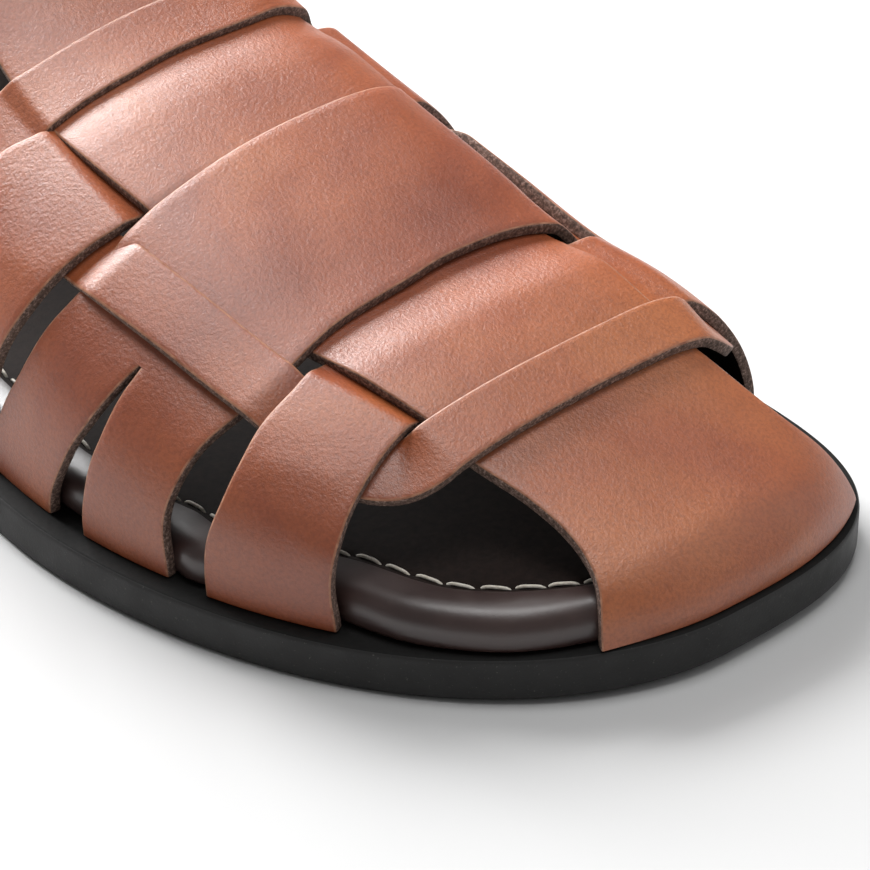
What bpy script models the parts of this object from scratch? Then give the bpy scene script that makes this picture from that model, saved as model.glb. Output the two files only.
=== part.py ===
"""A men's fisherman sandal, right foot, standing empty on its sole.

Frame: +X to the toe, +Y to the shoe's left (the inner, big-toe side), +Z up. The origin is
on the floor, at the middle of the sole's length and width. Lengths below are millimetres,
and MM turns them into metres where meshes are made.
"""

import math

import bmesh
import bpy
import numpy as np
from mathutils import Matrix, Vector

MM = 0.001
OUTER = -1  # the shoe's outer (little-toe) side, at -Y
INNER = 1  # the shoe's inner (big-toe) side, at +Y

# Driving sizes
SOLE_LENGTH = 300.0
TOE_X = SOLE_LENGTH / 2
HEEL_X = -SOLE_LENGTH / 2
OUTSOLE_THICK = 7.5
OUTSOLE_ROUND = 0.9
FOOTBED_THICK = 6.5
FOOTBED_ROUND = 3.0
LEATHER = 2.0
SHELF = 3.2  # outsole left bare outside the straps
GAP = 0.3  # between neighbouring solids
LAP = 0.3  # how far crossing straps are let into each other, so that they join
OVER = LEATHER - LAP  # level of a strap that passes over another
FOOTBED_BACK = 3.4  # it stops short of the last's ends, where the straps turn down
FOOTBED_GAP = 0.8
HEEL_INSET = 0.6
HEEL_LIFT = 12.0
HEEL_FRONT_X = -84.0
SHANK = (30.0, -80.0)  # the outsole rises between these stations
TOE_SPRING = 1.2
TOE_SPRING_X = 110.0
LAST_INSET = SHELF + LEATHER  # from the sole's outline to the last
TOE_SWELL = 2.2  # less of that at the toe, forward of these stations
TOE_SWELL_X = (116.0, 138.0)

# The sole's outline seen from above: a quarter superellipse on each side of the toe and the
# heel, and stations between them.
TOE_TIP_Y = 9.9
HEEL_TIP_Y = 0.0
TOE_CAP = {OUTER: (90.7, 65.2, 1.91), INNER: (47.5, 45.4, 3.12)}  # length, width, power
HEEL_CAP_LENGTH = 42.0
HEEL_CAP_POWER = 2.25
OUTLINE = (
    # x, outer y, inner y
    (62.0, -55.3, 50.8),
    (25.0, -52.6, 46.4),
    (-20.0, -45.4, 38.4),
    (-62.0, -39.0, 34.0),
    (HEEL_X + HEEL_CAP_LENGTH, -36.2, 35.6),
)

# The last: the line of its highest points, and their height above the outsole's top.
RIDGE = (
    # x, y
    (140.0, 21.7),
    (117.0, 22.2),
    (100.0, 18.4),
    (87.0, 12.7),
    (70.0, 10.0),
    (50.0, 7.4),
    (25.0, 6.9),
    (-30.0, 0.0),
    (-105.0, 0.0),
)
CROWN = (
    # x, height
    (140.0, 9.9),
    (117.0, 20.7),
    (100.0, 26.9),
    (87.0, 29.9),
    (70.0, 36.4),
    (50.0, 43.1),
    (25.0, 50.5),
    (0.0, 60.0),
    (-15.0, 68.5),
    (-30.0, 79.5),
)
TOE_FRONT = (8.0, 2.4)  # the round front of the toe: its length and its power
SECTION = {OUTER: (2.8, 3.2), INNER: (2.9, 1.35)}  # a section's powers, across and up

# The middle line of the centre strap, which the U-shaped strap runs round.
STRAP_LINE = (
    # x, y
    (TOE_X, 19.2),
    (118.0, 11.0),
    (91.0, 5.5),
    (57.0, -0.4),
    (20.0, -2.0),
    (-30.0, -1.4),
)

# Cross straps: the stations of their front and back edges, from the outer side's sole (-1)
# over the crown (0) to the inner side's sole (+1), and the level at which each part runs.
FRONT_STRAP = (
    # where, front x, back x, level
    (-1.0, 114.3, 95.0, 0.7),
    (-0.9, 113.5, 95.2, 1.3),
    (-0.77, 112.7, 95.9, OVER),
    (-0.66, 111.6, 95.4, OVER),
    (-0.53, 110.1, 94.0, OVER),
    (-0.42, 108.7, 93.2, OVER),
    (-0.37, 108.2, 92.5, OVER),
    (-0.31, 107.7, 91.6, 0.0),
    (0.0, 107.4, 92.0, 0.0),
    (0.15, 107.6, 92.0, 0.0),
    (0.27, 107.8, 92.0, OVER),
    (0.45, 108.2, 92.0, OVER),
    (0.6, 109.0, 92.6, OVER),
    (0.8, 110.0, 93.4, 1.5),
    (1.0, 110.5, 94.0, 0.9),
)
WIDE_STRAP = (
    (-1.0, 88.2, 47.0, 0.0),
    (-0.9, 87.4, 51.2, 0.0),
    (-0.79, 87.9, 54.6, 0.0),
    (-0.66, 88.5, 56.3, 0.0),
    (-0.53, 89.6, 57.5, 0.0),
    (-0.38, 90.3, 57.0, 0.0),
    (-0.31, 89.2, 56.2, OVER),
    (-0.23, 88.1, 55.6, OVER),
    (-0.08, 86.8, 53.8, OVER),
    (0.0, 85.5, 52.9, OVER),
    (0.08, 85.8, 52.4, OVER),
    (0.2, 86.5, 51.4, OVER),
    (0.29, 87.5, 51.2, 0.0),
    (0.6, 88.5, 51.0, 0.0),
    (0.8, 88.3, 49.5, 0.0),
    (1.0, 87.5, 45.0, 0.0),
)
THIRD_STRAP = (
    (-1.0, 46.5, 20.5, 0.6),
    (-0.9, 48.6, 22.6, 1.2),
    (-0.74, 51.7, 26.0, OVER),
    (-0.65, 53.0, 27.6, OVER),
    (-0.53, 54.1, 29.6, OVER),
    (-0.44, 54.9, 31.0, OVER),
    (-0.37, 55.6, 32.8, OVER),
    (-0.31, 55.2, 33.6, 0.0),
    (0.0, 54.0, 33.0, 0.0),
    (0.2, 53.5, 32.0, 0.0),
    (0.285, 53.3, 31.4, OVER),
    (0.45, 53.0, 30.5, OVER),
    (0.7, 50.0, 26.0, OVER),
    (0.85, 47.0, 22.0, 1.3),
    (1.0, 44.0, 17.0, 0.9),
)
INSTEP_STRAP = (
    (-1.0, 13.0, -5.0, 0.0),
    (-0.75, 22.0, 7.0, 0.0),
    (-0.46, 31.6, 18.4, 0.0),
    (-0.38, 33.0, 20.8, 0.2),
    (-0.33, 33.6, 22.0, OVER),
    (-0.24, 33.3, 22.5, OVER),
    (-0.15, 33.0, 22.3, OVER),
    (-0.05, 32.0, 21.8, OVER),
    (0.03, 31.6, 21.5, OVER),
    (0.12, 30.2, 20.6, OVER),
    (0.2, 29.4, 19.6, OVER),
    (0.29, 28.2, 18.0, 0.0),
    (0.45, 26.0, 14.6, 0.0),
    (0.75, 17.0, 3.0, 0.0),
    (1.0, 9.0, -9.0, 0.0),
)
# The centre strap: its two edges, and its level along the shoe.
CENTRE_STRAP = (
    # x, outer y, inner y
    (144.6, -11.6, 47.6),
    (140.0, -8.1, 44.5),
    (135.5, -7.2, 41.0),
    (131.4, -7.4, 38.0),
    (126.0, -8.7, 35.5),
    (117.2, -12.0, 32.8),
    (107.4, -14.9, 29.9),
    (99.4, -17.5, 29.2),
    (90.6, -19.9, 28.3),
    (75.0, -23.3, 26.8),
    (57.0, -25.4, 25.0),
    (45.0, -26.7, 24.0),
    (34.0, -27.0, 23.3),
    (20.0, -26.1, 22.5),
    (0.0, -22.4, 19.6),
    (-32.0, -12.4, 9.6),
)
CENTRE_LEVELS = (
    # x, level
    (120.0, 0.0),
    (110.0, 0.0),
    (104.0, OVER),
    (95.0, OVER),
    (89.0, 0.0),
    (60.0, 0.0),
    (54.0, OVER),
    (38.0, OVER),
    (32.0, 0.0),
    (0.0, 0.0),
)
CENTRE_STRAP_END = -31.0
# The U-shaped strap: across the toe, then back along each side of the vamp.
U_STRAP_X = 112.4
U_STRAP_SKEW = 0.02  # its cross part runs a little forward on the outer side
U_STRAP_OFFSET = 34.1
U_STRAP_CORNER = 8.0
U_STRAP_END = 47.0
U_STRAP = (
    # distance from the middle along the strap, width, level
    (0.0, 8.9, OVER),
    (24.0, 9.2, OVER),
    (32.0, 9.7, 0.0),
    (42.0, 10.2, 0.0),
    (49.0, 10.2, 0.0),
    (56.0, 10.2, OVER),
    (86.0, 10.2, OVER),
    (93.0, 10.2, 0.0),
    (120.0, 10.2, 0.0),
)
# A tapering slit parts each side end of the wide strap into two legs.
SLIT_TOP = (73.0, 35.0)  # x, z
SLIT_TOP_WIDTH = 1.4
SLIT_FOOT = (62.8, 71.0)  # x of its two edges at the sole

# The heel counter, measured above the outsole
COUNTER_FRONT_X = -34.0
COUNTER_TOP = 52.0
COUNTER_RISE = 9.0  # more at the back than at the front corners
COUNTER_SLANT = 30.0  # how far its front edge leans back
COUNTER_PATH = 135.0  # half the counter's length round the heel
COUNTER_LEAN = 8.0
COUNTER_BULGE = 2.4

# The ankle strap: an arch over the instep, and its straight laps on the counter
ANKLE_WIDTH = 15.0
ANKLE_SIDE = (-66.0, 66.0)  # x and z where the arch meets the counter
ANKLE_CROWN_X = -22.0
ANKLE_SQUARE = 0.86  # below 1 the arch is squarer than an ellipse
ANKLE_LAPS = {OUTER: 46.0, INNER: 20.0}
INSTEP_SLOPE = math.radians(38.0)

# The buckle, on the outer side
BUCKLE_WIRE = 2.4
BUCKLE_TAIL = 30.0  # the strap's end beyond the hinge bar
TAIL_LEVEL = LEATHER + BUCKLE_WIRE + 2 * GAP  # the strap's underside over the bar
BUCKLE_LENGTH = 17.0
BUCKLE_INSIDE = 17.0
BUCKLE_CORNER = 3.0
PRONG_WIRE = 2.0
PRONG_HOLE = 3.2
KEEPER_RUN = 17.0  # beyond the hinge bar
KEEPER_WIDTH = 7.0
KEEPER_THICK = 1.6


# ---------------------------------------------------------------- numbers along the shoe


def smooth(xs, ys, x, held=False):
    """A smooth curve through the points; when held, it never overshoots between them."""
    xs = np.asarray(xs, float)
    ys = np.asarray(ys, float)
    if xs[0] > xs[-1]:
        xs, ys = xs[::-1], ys[::-1]
    steps = np.diff(ys) / np.diff(xs)
    slopes = np.gradient(ys, xs)
    if held:
        same = steps[:-1] * steps[1:] > 0
        total = np.where(same, steps[:-1] + steps[1:], 1)
        slopes[1:-1] = np.where(same, 2 * steps[:-1] * steps[1:] / total, 0)
    x = np.asarray(x, float)
    inside = np.clip(x, xs[0], xs[-1])
    i = np.clip(np.searchsorted(xs, inside) - 1, 0, len(xs) - 2)
    width = xs[i + 1] - xs[i]
    t = (inside - xs[i]) / width
    value = (
        (2 * t**3 - 3 * t**2 + 1) * ys[i]
        + (t**3 - 2 * t**2 + t) * width * slopes[i]
        + (3 * t**2 - 2 * t**3) * ys[i + 1]
        + (t**3 - t**2) * width * slopes[i + 1]
    )
    return value + (x - inside) * np.where(x < xs[0], slopes[0], slopes[-1])


def column(table, where, number, held=False):
    """One column of a table, read off at the given places."""
    return smooth([row[0] for row in table], [row[number] for row in table], where, held)


def ease(t):
    t = np.clip(t, 0, 1)
    return t * t * (3 - 2 * t)


def sole_rise(x):
    """Height of the outsole's underside above the floor: toe spring, and the shank's rise."""
    x = np.asarray(x, float)
    toe = TOE_SPRING * (np.clip(x - TOE_SPRING_X, 0, None) / (TOE_X - TOE_SPRING_X)) ** 2
    return toe + HEEL_LIFT * ease((SHANK[0] - x) / (SHANK[0] - SHANK[1]))


def outsole_top(x):
    return sole_rise(x) + OUTSOLE_THICK


def quarter(length, width, power, count):
    """A quarter of a superellipse, from its tip to its widest point, as (back, out) pairs."""
    turn = np.linspace(0, math.pi / 2, count)
    back = length * (1 - np.clip(np.cos(turn), 0, 1) ** (2 / power))
    return back, width * np.sin(turn) ** (2 / power)


def side_line(side, count=90):
    """The outline's one side, from the toe's tip to the heel's tip."""
    length, width, power = TOE_CAP[side]
    back, out = quarter(length, width, power, count)
    toe = np.stack([TOE_X - back, TOE_TIP_Y + side * out], 1)
    number = 1 if side == OUTER else 2
    rows = [row for row in OUTLINE if row[0] < toe[-1, 0] - 12]
    xs = [toe[-1, 0] + 12, toe[-1, 0]] + [row[0] for row in rows] + [rows[-1][0] - 12]
    ys = [toe[-1, 1]] * 2 + [row[number] for row in rows] + [rows[-1][number]]
    x = np.linspace(toe[-1, 0], rows[-1][0], count)[1:]
    middle = np.stack([x, smooth(xs, ys, x)], 1)
    back, out = quarter(HEEL_CAP_LENGTH, abs(rows[-1][number] - HEEL_TIP_Y), HEEL_CAP_POWER, count)
    heel = np.stack([HEEL_X + back, HEEL_TIP_Y + side * out], 1)[::-1][1:]
    return np.concatenate([toe, middle, heel])


def outline(inset=0.0, swell=0.0, count=900):
    """The closed outline, evenly spaced and moved inwards, anticlockwise from the toe.

    It stands inset from the sole's edge, and at the toe less than that by swell.
    """
    loop = np.concatenate([side_line(INNER), side_line(OUTER)[::-1][1:]])
    run = np.concatenate([[0], np.cumsum(np.linalg.norm(np.diff(loop, axis=0), axis=1))])
    keep = np.concatenate([[True], np.diff(run) > 1e-6])
    even = np.linspace(0, run[-1], count, endpoint=False)
    points = np.stack([np.interp(even, run[keep], loop[keep, i]) for i in (0, 1)], 1)
    along = np.roll(points, -1, 0) - np.roll(points, 1, 0)
    along /= np.linalg.norm(along, axis=1)[:, None]
    outwards = np.stack([along[:, 1], -along[:, 0]], 1)
    start, end = TOE_SWELL_X
    here = inset - swell * ease((points[:, 0] - start) / (end - start))
    return points - here[:, None] * outwards


def edge_reader(inset, swell=0.0):
    """A function that gives the y of the inset outline's outer or inner side at any x."""
    loop = outline(inset, swell)
    first, last = int(np.argmax(loop[:, 0])), int(np.argmin(loop[:, 0]))
    loop = np.roll(loop, -first, 0)
    last = (last - first) % len(loop)
    sides = {INNER: loop[: last + 1][::-1], OUTER: np.concatenate([loop[last:], loop[:1]])}

    def read(x, side):
        return np.interp(x, sides[side][:, 0], sides[side][:, 1])

    return read, float(loop[:, 0].max()), float(loop[:, 0].min())


LAST_EDGE, LAST_TOE, LAST_HEEL = edge_reader(LAST_INSET, TOE_SWELL)


def ridge_y(x):
    return column(RIDGE, x, 1)


def strap_y(x):
    return column(STRAP_LINE, x, 1)


def crown(x):
    """Height of the last's crown above the outsole's top."""
    length, power = TOE_FRONT
    front = (1 - (1 - np.clip((LAST_TOE - x) / length, 0, 1)) ** power) ** (1 / power)
    return column(CROWN, x, 1) * front


def last_section(x):
    """The ridge's y, and the outer and inner edges' y, of the last's section at x."""
    outer, inner = LAST_EDGE(x, OUTER), LAST_EDGE(x, INNER)
    return np.clip(ridge_y(x), outer, inner), outer, inner


def powers(on_outer):
    """The section's powers across and up, on its outer side where on_outer, else its inner."""
    return [np.where(on_outer, SECTION[OUTER][i], SECTION[INNER][i]) for i in (0, 1)]


def last_at(x, where):
    """The last's surface at station x, where runs -1 outer edge, 0 ridge, +1 inner edge."""
    across, up = powers(where < 0)
    turn = np.abs(where) * math.pi / 2
    middle, outer, inner = last_section(x)
    reach = np.where(where < 0, outer, inner) - middle
    y = middle + reach * np.sin(turn) ** (2 / across)
    z = outsole_top(x) + GAP + crown(x) * np.clip(np.cos(turn), 0, 1) ** (2 / up)
    return np.stack([x + 0 * y, y, z], -1)


def last_over(x, y):
    """The last's surface straight above (x, y)."""
    middle, outer, inner = last_section(x)
    across, up = powers(y < middle)
    reach = np.where(y < middle, outer, inner) - middle
    share = np.clip((y - middle) / np.where(np.abs(reach) < 1e-6, 1e-6, reach), 0, 1)
    z = outsole_top(x) + GAP + crown(x) * (1 - share**across) ** (1 / up)
    return np.stack([x + 0 * y, middle + reach * share, z], -1)


# ---------------------------------------------------------------- scene and mesh helpers


def clear_scene():
    for item in list(bpy.data.objects):
        bpy.data.objects.remove(item, do_unlink=True)


def new_collection(name):
    group = bpy.data.collections.new(name)
    bpy.context.scene.collection.children.link(group)
    return group


def material(name, colour, roughness, metallic=0.0):
    made = bpy.data.materials.new(name)
    made.use_nodes = True
    shader = made.node_tree.nodes["Principled BSDF"]
    shader.inputs["Base Color"].default_value = (*colour, 1.0)
    shader.inputs["Roughness"].default_value = roughness
    shader.inputs["Metallic"].default_value = metallic
    return made


def place(name, mesh, group, finish=None):
    item = bpy.data.objects.new(name, mesh)
    group.objects.link(item)
    if finish:
        mesh.materials.append(finish)
    return item


def finish_mesh(name, form):
    """A mesh from the bmesh, its faces turned outwards and shaded smooth up to sharp edges."""
    bmesh.ops.recalc_face_normals(form, faces=form.faces)
    mesh = bpy.data.meshes.new(name)
    form.to_mesh(mesh)
    form.free()
    mesh.shade_smooth()
    mesh.set_sharp_from_angle(angle=math.radians(35))
    return mesh


def normals_of(grid):
    """Unit normals of a grid of points, by differences between neighbours."""
    along = np.gradient(grid, axis=0)
    across = np.gradient(grid, axis=1)
    normal = np.cross(along, across)
    return normal / np.linalg.norm(normal, axis=2, keepdims=True)


def band(name, grid, level, group):
    """A strap: a grid sheet laid on the last at its level, thickened outwards to the leather.

    grid[i, j] is a point on the last, and level[i, j] how far the strap's underside lies off it.
    """
    rows, columns = grid.shape[:2]
    out = normals_of(grid)
    if (out[:, :, 2].sum()) < 0:
        out = -out
    points = grid + out * level[:, :, None]
    sheet = bmesh.new()
    bmesh.ops.create_grid(sheet, x_segments=columns - 1, y_segments=rows - 1, size=1)
    sheet.verts.ensure_lookup_table()
    for vert, point in zip(sheet.verts, points.reshape(-1, 3)):
        vert.co = Vector(point) * MM
    bmesh.ops.recalc_face_normals(sheet, faces=sheet.faces)
    middle = sheet.faces[:][len(sheet.faces) // 2]
    hint = out[rows // 2, columns // 2]
    sheet.faces.ensure_lookup_table()
    sheet.normal_update()
    if middle.normal.dot(Vector(hint)) < 0:
        bmesh.ops.reverse_faces(sheet, faces=sheet.faces)
    mesh = bpy.data.meshes.new(name)
    sheet.to_mesh(mesh)
    sheet.free()
    item = place(name, mesh, group)
    shell = item.modifiers.new("leather", "SOLIDIFY")
    shell.thickness = LEATHER * MM
    shell.offset = 1.0
    shell.use_even_offset = True
    return item


def as_helper(item):
    item.hide_render = True
    item.display_type = "WIRE"
    return item


def boolean(item, other, operation):
    step = item.modifiers.new(operation.lower(), "BOOLEAN")
    step.operation = operation
    step.solver = "EXACT"
    step.object = other


# ---------------------------------------------------------------- the sole's pieces


def stations(start, end, count):
    """Stations along the shoe, closer together towards both ends."""
    turn = np.linspace(0, math.pi, count)
    return (start + end) / 2 + (start - end) / 2 * np.cos(turn)


def slab(name, side_at, xs, bottom, top, rounding, group, finish):
    """A plate with the sole's outline: sections across the shoe, lofted from toe to heel.

    side_at(x, side, z) is the y of its side, and bottom and top give heights at x. rounding is
    the radius of its upper edge.
    """
    corner = np.linspace(0, math.pi / 2, 4)
    form = bmesh.new()
    loops = []
    for x in xs:
        low, high = float(bottom(x)), float(top(x))
        radius = min(rounding, float(side_at(x, INNER, high) - side_at(x, OUTER, high)) / 4)
        rim = [(radius * (1 - math.cos(a)), high - rounding * (1 - math.sin(a))) for a in corner]
        outer = [(float(side_at(x, OUTER, low)), low)]
        outer += [(float(side_at(x, OUTER, z)) + shift, z) for shift, z in rim]
        inner = [(float(side_at(x, INNER, low)), low)]
        inner += [(float(side_at(x, INNER, z)) - shift, z) for shift, z in rim]
        middle = (outer[-1][0] + inner[-1][0]) / 2
        ring = outer + [(middle, high)] + inner[::-1] + [(middle, low)]
        loops.append([form.verts.new(Vector((x, y, z)) * MM) for y, z in ring])
    for here, there in zip(loops, loops[1:]):
        for i in range(len(here)):
            j = (i + 1) % len(here)
            form.faces.new((here[i], here[j], there[j], there[i]))
    form.faces.new(loops[0])
    form.faces.new(loops[-1])
    return place(name, finish_mesh(name, form), group, finish)


def upright(inset):
    """The sides of a plate whose wall stands upright, inset from the outline, and its two ends."""
    read, front, back = edge_reader(inset)
    return (lambda x, side, z: read(x, side)), front - 0.03, back + 0.03


def inside_last(x, side, z):
    """The footbed's side: it follows the last's wall, a gap inside it."""
    across, up = SECTION[side]
    middle, outer, inner = last_section(x)
    high = np.clip((z - outsole_top(x)) / max(float(crown(x)), 1e-6), 0, 1)
    reach = (outer if side == OUTER else inner) - side * FOOTBED_GAP - middle
    return middle + reach * (1 - high**up) ** (1 / across)


def build_outsole(group, rubber):
    sides, front, back = upright(0.0)
    xs = stations(front, back, 62)
    return slab("outsole", sides, xs, sole_rise, outsole_top, OUTSOLE_ROUND, group, rubber)


def build_heel(group, rubber):
    sides, _, back = upright(HEEL_INSET)
    xs = back + (HEEL_FRONT_X - back) * (1 - np.cos(np.linspace(0, math.pi / 2, 18)))
    return slab("heel", sides, xs, lambda x: 0.0, lambda x: HEEL_LIFT - GAP, 0.5, group, rubber)


def build_footbed(group, leather):
    xs = stations(LAST_TOE - FOOTBED_BACK, LAST_HEEL + FOOTBED_BACK, 56)
    bottom = lambda x: outsole_top(x) + GAP
    top = lambda x: outsole_top(x) + GAP + FOOTBED_THICK
    return slab("footbed", inside_last, xs, bottom, top, FOOTBED_ROUND, group, leather)


# ---------------------------------------------------------------- the upper's straps


def cross_strap(name, table, group, along=38, wide=3):
    """A strap over the foot, from the outsole on the outer side to the inner side."""
    turn = np.linspace(-1, 1, along)
    where = np.sign(turn) * np.abs(turn) ** 0.9
    front, back = column(table, where, 1, held=True), column(table, where, 2, held=True)
    level = column(table, where, 3, held=True)
    share = np.linspace(0, 1, wide + 1)
    x = back[:, None] + (front - back)[:, None] * share[None]
    grid = last_at(x, where[:, None] + 0 * x)
    return band(name, grid, level[:, None] + 0 * x, group)


def centre_y(x, part):
    """The y of the centre strap's line at x, where part runs 0 outer edge to 1 inner edge."""
    outer, inner = column(CENTRE_STRAP, x, 1), column(CENTRE_STRAP, x, 2)
    return outer + part * (inner - outer)


def centre_strap(group, along=44, wide=8):
    """The strap along the crown, from the toe's front edge to the ankle strap."""
    share = np.linspace(0, 1, wide + 1)
    front = np.empty(len(share))
    for j, part in enumerate(share):
        reach = np.linspace(LAST_TOE - 25, LAST_TOE, 800)
        y = centre_y(reach, part)
        inside = (y >= LAST_EDGE(reach, OUTER)) & (y <= LAST_EDGE(reach, INNER))
        front[j] = reach[inside].max()
    depth = np.linspace(0, 1, along) ** 1.8
    x = front[None] + (CENTRE_STRAP_END - front[None]) * depth[:, None]
    y = centre_y(x, share[None])
    grid = last_over(x, y)
    grid[0, :, 2] = outsole_top(front) + GAP
    return band("centre_strap", grid, column(CENTRE_LEVELS, x, 1, held=True), group)


def u_path():
    """The U-shaped strap's middle line in plan, from its inner end round the toe to its outer end."""
    corner_y = U_STRAP_OFFSET - U_STRAP_CORNER
    legs = np.linspace(U_STRAP_END, U_STRAP_X - U_STRAP_CORNER, 60)[:-1]
    turn = np.linspace(0, math.pi / 2, 24)
    arc_x = U_STRAP_X - U_STRAP_CORNER + U_STRAP_CORNER * np.sin(turn)
    arc_y = corner_y + U_STRAP_CORNER * np.cos(turn)
    half_x = np.concatenate([legs, arc_x, np.full(20, U_STRAP_X)])
    half_y = np.concatenate([0 * legs + U_STRAP_OFFSET, arc_y, np.linspace(corner_y, 0, 21)[1:]])
    x = np.concatenate([half_x, half_x[::-1][1:]])
    offset = np.concatenate([half_y, -half_y[::-1][1:]])
    return x - U_STRAP_SKEW * offset, strap_y(x) + offset


def u_strap(group, along=58, wide=2):
    x, y = u_path()
    line = last_over(x, y)
    run = np.concatenate([[0], np.cumsum(np.linalg.norm(np.diff(line, axis=0), axis=1))])
    even = np.linspace(0, run[-1], along)
    x, y = np.interp(even, run, x), np.interp(even, run, y)
    line = last_over(x, y)
    along_line = np.gradient(line, axis=0)
    along_line /= np.linalg.norm(along_line, axis=1)[:, None]
    step = 0.05
    slope_x = (last_over(x + step, y) - last_over(x - step, y)) / (2 * step)
    slope_y = (last_over(x, y + step) - last_over(x, y - step)) / (2 * step)
    normal = np.cross(slope_x, slope_y)
    normal /= np.linalg.norm(normal, axis=1)[:, None]
    sideways = np.cross(normal, along_line)
    distance = np.abs(even - run[-1] / 2)
    share = np.linspace(-0.5, 0.5, wide + 1) * column(U_STRAP, distance, 1, held=True)[:, None]
    x = x[:, None] + sideways[:, 0:1] * share
    y = y[:, None] + sideways[:, 1:2] * share
    level = column(U_STRAP, distance, 2, held=True)
    return band("u_strap", last_over(x, y), level[:, None] + 0 * x, group)


def counter_wall(share, height):
    """A point on the counter's inside: share runs -1..1 round the heel, height above the sole."""
    loop = outline(0.0)
    first = int(np.argmin(np.hypot(loop[:, 0] - COUNTER_FRONT_X, loop[:, 1] - 60)))
    last = int(np.argmin(np.hypot(loop[:, 0] - COUNTER_FRONT_X, loop[:, 1] + 60)))
    path = loop[first : last + 1]
    along = np.gradient(path, axis=0)
    along /= np.linalg.norm(along, axis=1)[:, None]
    place_on = (share + 1) / 2 * (len(path) - 1)
    index = np.arange(len(path))
    at = np.stack([np.interp(place_on, index, path[:, i]) for i in (0, 1)], -1)
    out_x = np.interp(place_on, index, along[:, 1])
    out_y = np.interp(place_on, index, -along[:, 0])
    rise = height / (COUNTER_TOP + COUNTER_RISE)
    inset = LAST_INSET + COUNTER_LEAN * rise**2 - COUNTER_BULGE * np.sin(math.pi * np.clip(rise, 0, 1))
    x, y = at[..., 0] - out_x * inset, at[..., 1] - out_y * inset
    return np.stack([x, y, outsole_top(x) + GAP + height], -1)


def counter(group, along=44, high=5):
    """The closed heel counter, its front edges leaning back and its top highest at the heel."""
    turn = np.linspace(-1, 1, along)
    rise = np.linspace(0, 1, high + 1)
    top = COUNTER_TOP + COUNTER_RISE * np.cos(turn * math.pi / 2)
    height = rise[None] * top[:, None]
    lean = 1 - COUNTER_SLANT / COUNTER_PATH * rise[None]
    grid = counter_wall(turn[:, None] * lean, height)
    return band("heel_counter", grid, 0 * height, group)


def counter_y(x, z, side):
    """The y of the counter's inside on one side of the heel, at station x and height z."""
    share = np.linspace(1.0, 0.35, 60) * side * -1
    points = counter_wall(share, z - outsole_top(x) - GAP)
    order = np.argsort(points[:, 0])
    return float(np.interp(x, points[order, 0], points[order, 1]))


def counter_facing(x, z, side, step=0.5):
    """The counter's outward normal there."""
    along = (counter_y(x + step, z, side) - counter_y(x - step, z, side)) / (2 * step)
    up = (counter_y(x, z + step, side) - counter_y(x, z - step, side)) / (2 * step)
    normal = side * np.array([-along, 1.0, -up])
    return normal / np.linalg.norm(normal)


def ankle_line(count=160):
    """The ankle strap's middle line with its tangents, normals and widths, inner end first."""
    side_x, side_z = ANKLE_SIDE
    crown_x, crown_y, crown_z = last_at(np.array(ANKLE_CROWN_X), np.array(0.0))
    half = {side: abs(counter_y(side_x, side_z, side)) for side in (INNER, OUTER)}
    down = np.array([side_x - crown_x, side_z - crown_z])
    down /= np.linalg.norm(down)
    points, facings = [], []
    instep = np.array([math.sin(INSTEP_SLOPE), 0, math.cos(INSTEP_SLOPE)])
    for turn in np.linspace(-math.pi / 2, math.pi / 2, count):
        side = INNER if turn < 0 else OUTER
        lift = max(math.cos(turn), 0)
        out = side * half[side] * abs(math.sin(turn)) ** ANKLE_SQUARE
        x = side_x + (crown_x - side_x) * lift
        z = side_z + (crown_z - side_z) * lift
        points.append((x, out + crown_y * lift, z))
        wall = counter_facing(side_x, side_z, side)
        facings.append(instep * lift + wall * abs(math.sin(turn)))
    for side in (INNER, OUTER):
        lap_points, lap_facings = [], []
        for run in np.linspace(0, ANKLE_LAPS[side], 24)[1:]:
            x, z = side_x + down[0] * run, side_z + down[1] * run
            lap_points.append((x, counter_y(x, z, side), z))
            lap_facings.append(counter_facing(x, z, side))
        if side == INNER:
            points, facings = lap_points[::-1] + points, lap_facings[::-1] + facings
        else:
            points, facings = points + lap_points, facings + lap_facings
    line, facing = np.array(points), np.array(facings)
    run = np.concatenate([[0], np.cumsum(np.linalg.norm(np.diff(line, axis=0), axis=1))])
    even = np.linspace(0, run[-1], count)
    line = np.stack([np.interp(even, run, line[:, i]) for i in range(3)], 1)
    facing = np.stack([np.interp(even, run, facing[:, i]) for i in range(3)], 1)
    tangent = np.gradient(line, axis=0)
    tangent /= np.linalg.norm(tangent, axis=1)[:, None]
    facing -= tangent * np.sum(facing * tangent, 1)[:, None]
    facing /= np.linalg.norm(facing, axis=1)[:, None]
    width = np.cross(facing, tangent)
    return even, line, tangent, facing, width


ANKLE = ankle_line()


def on_ankle(run, across, off):
    """A point off the ankle strap's line: distance along it, across it and outwards from it."""
    along, line, _, facing, width = ANKLE
    read = lambda values: np.stack([np.interp(run, along, values[:, i]) for i in range(3)], -1)
    return read(line) + read(width) * across + read(facing) * off


HINGE_RUN = float(ANKLE[0][-1]) - BUCKLE_TAIL  # where the buckle's hinge bar lies


def ankle_levels(run):
    """How far the ankle strap's underside lies off its line: it climbs over the hinge bar."""
    climb = ease((run - (HINGE_RUN - BUCKLE_LENGTH + 2.0)) / 9.0)
    fall = ease((HINGE_RUN + 12.0 - run) / 9.0)
    return OVER + (TAIL_LEVEL - OVER) * climb * fall


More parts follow.
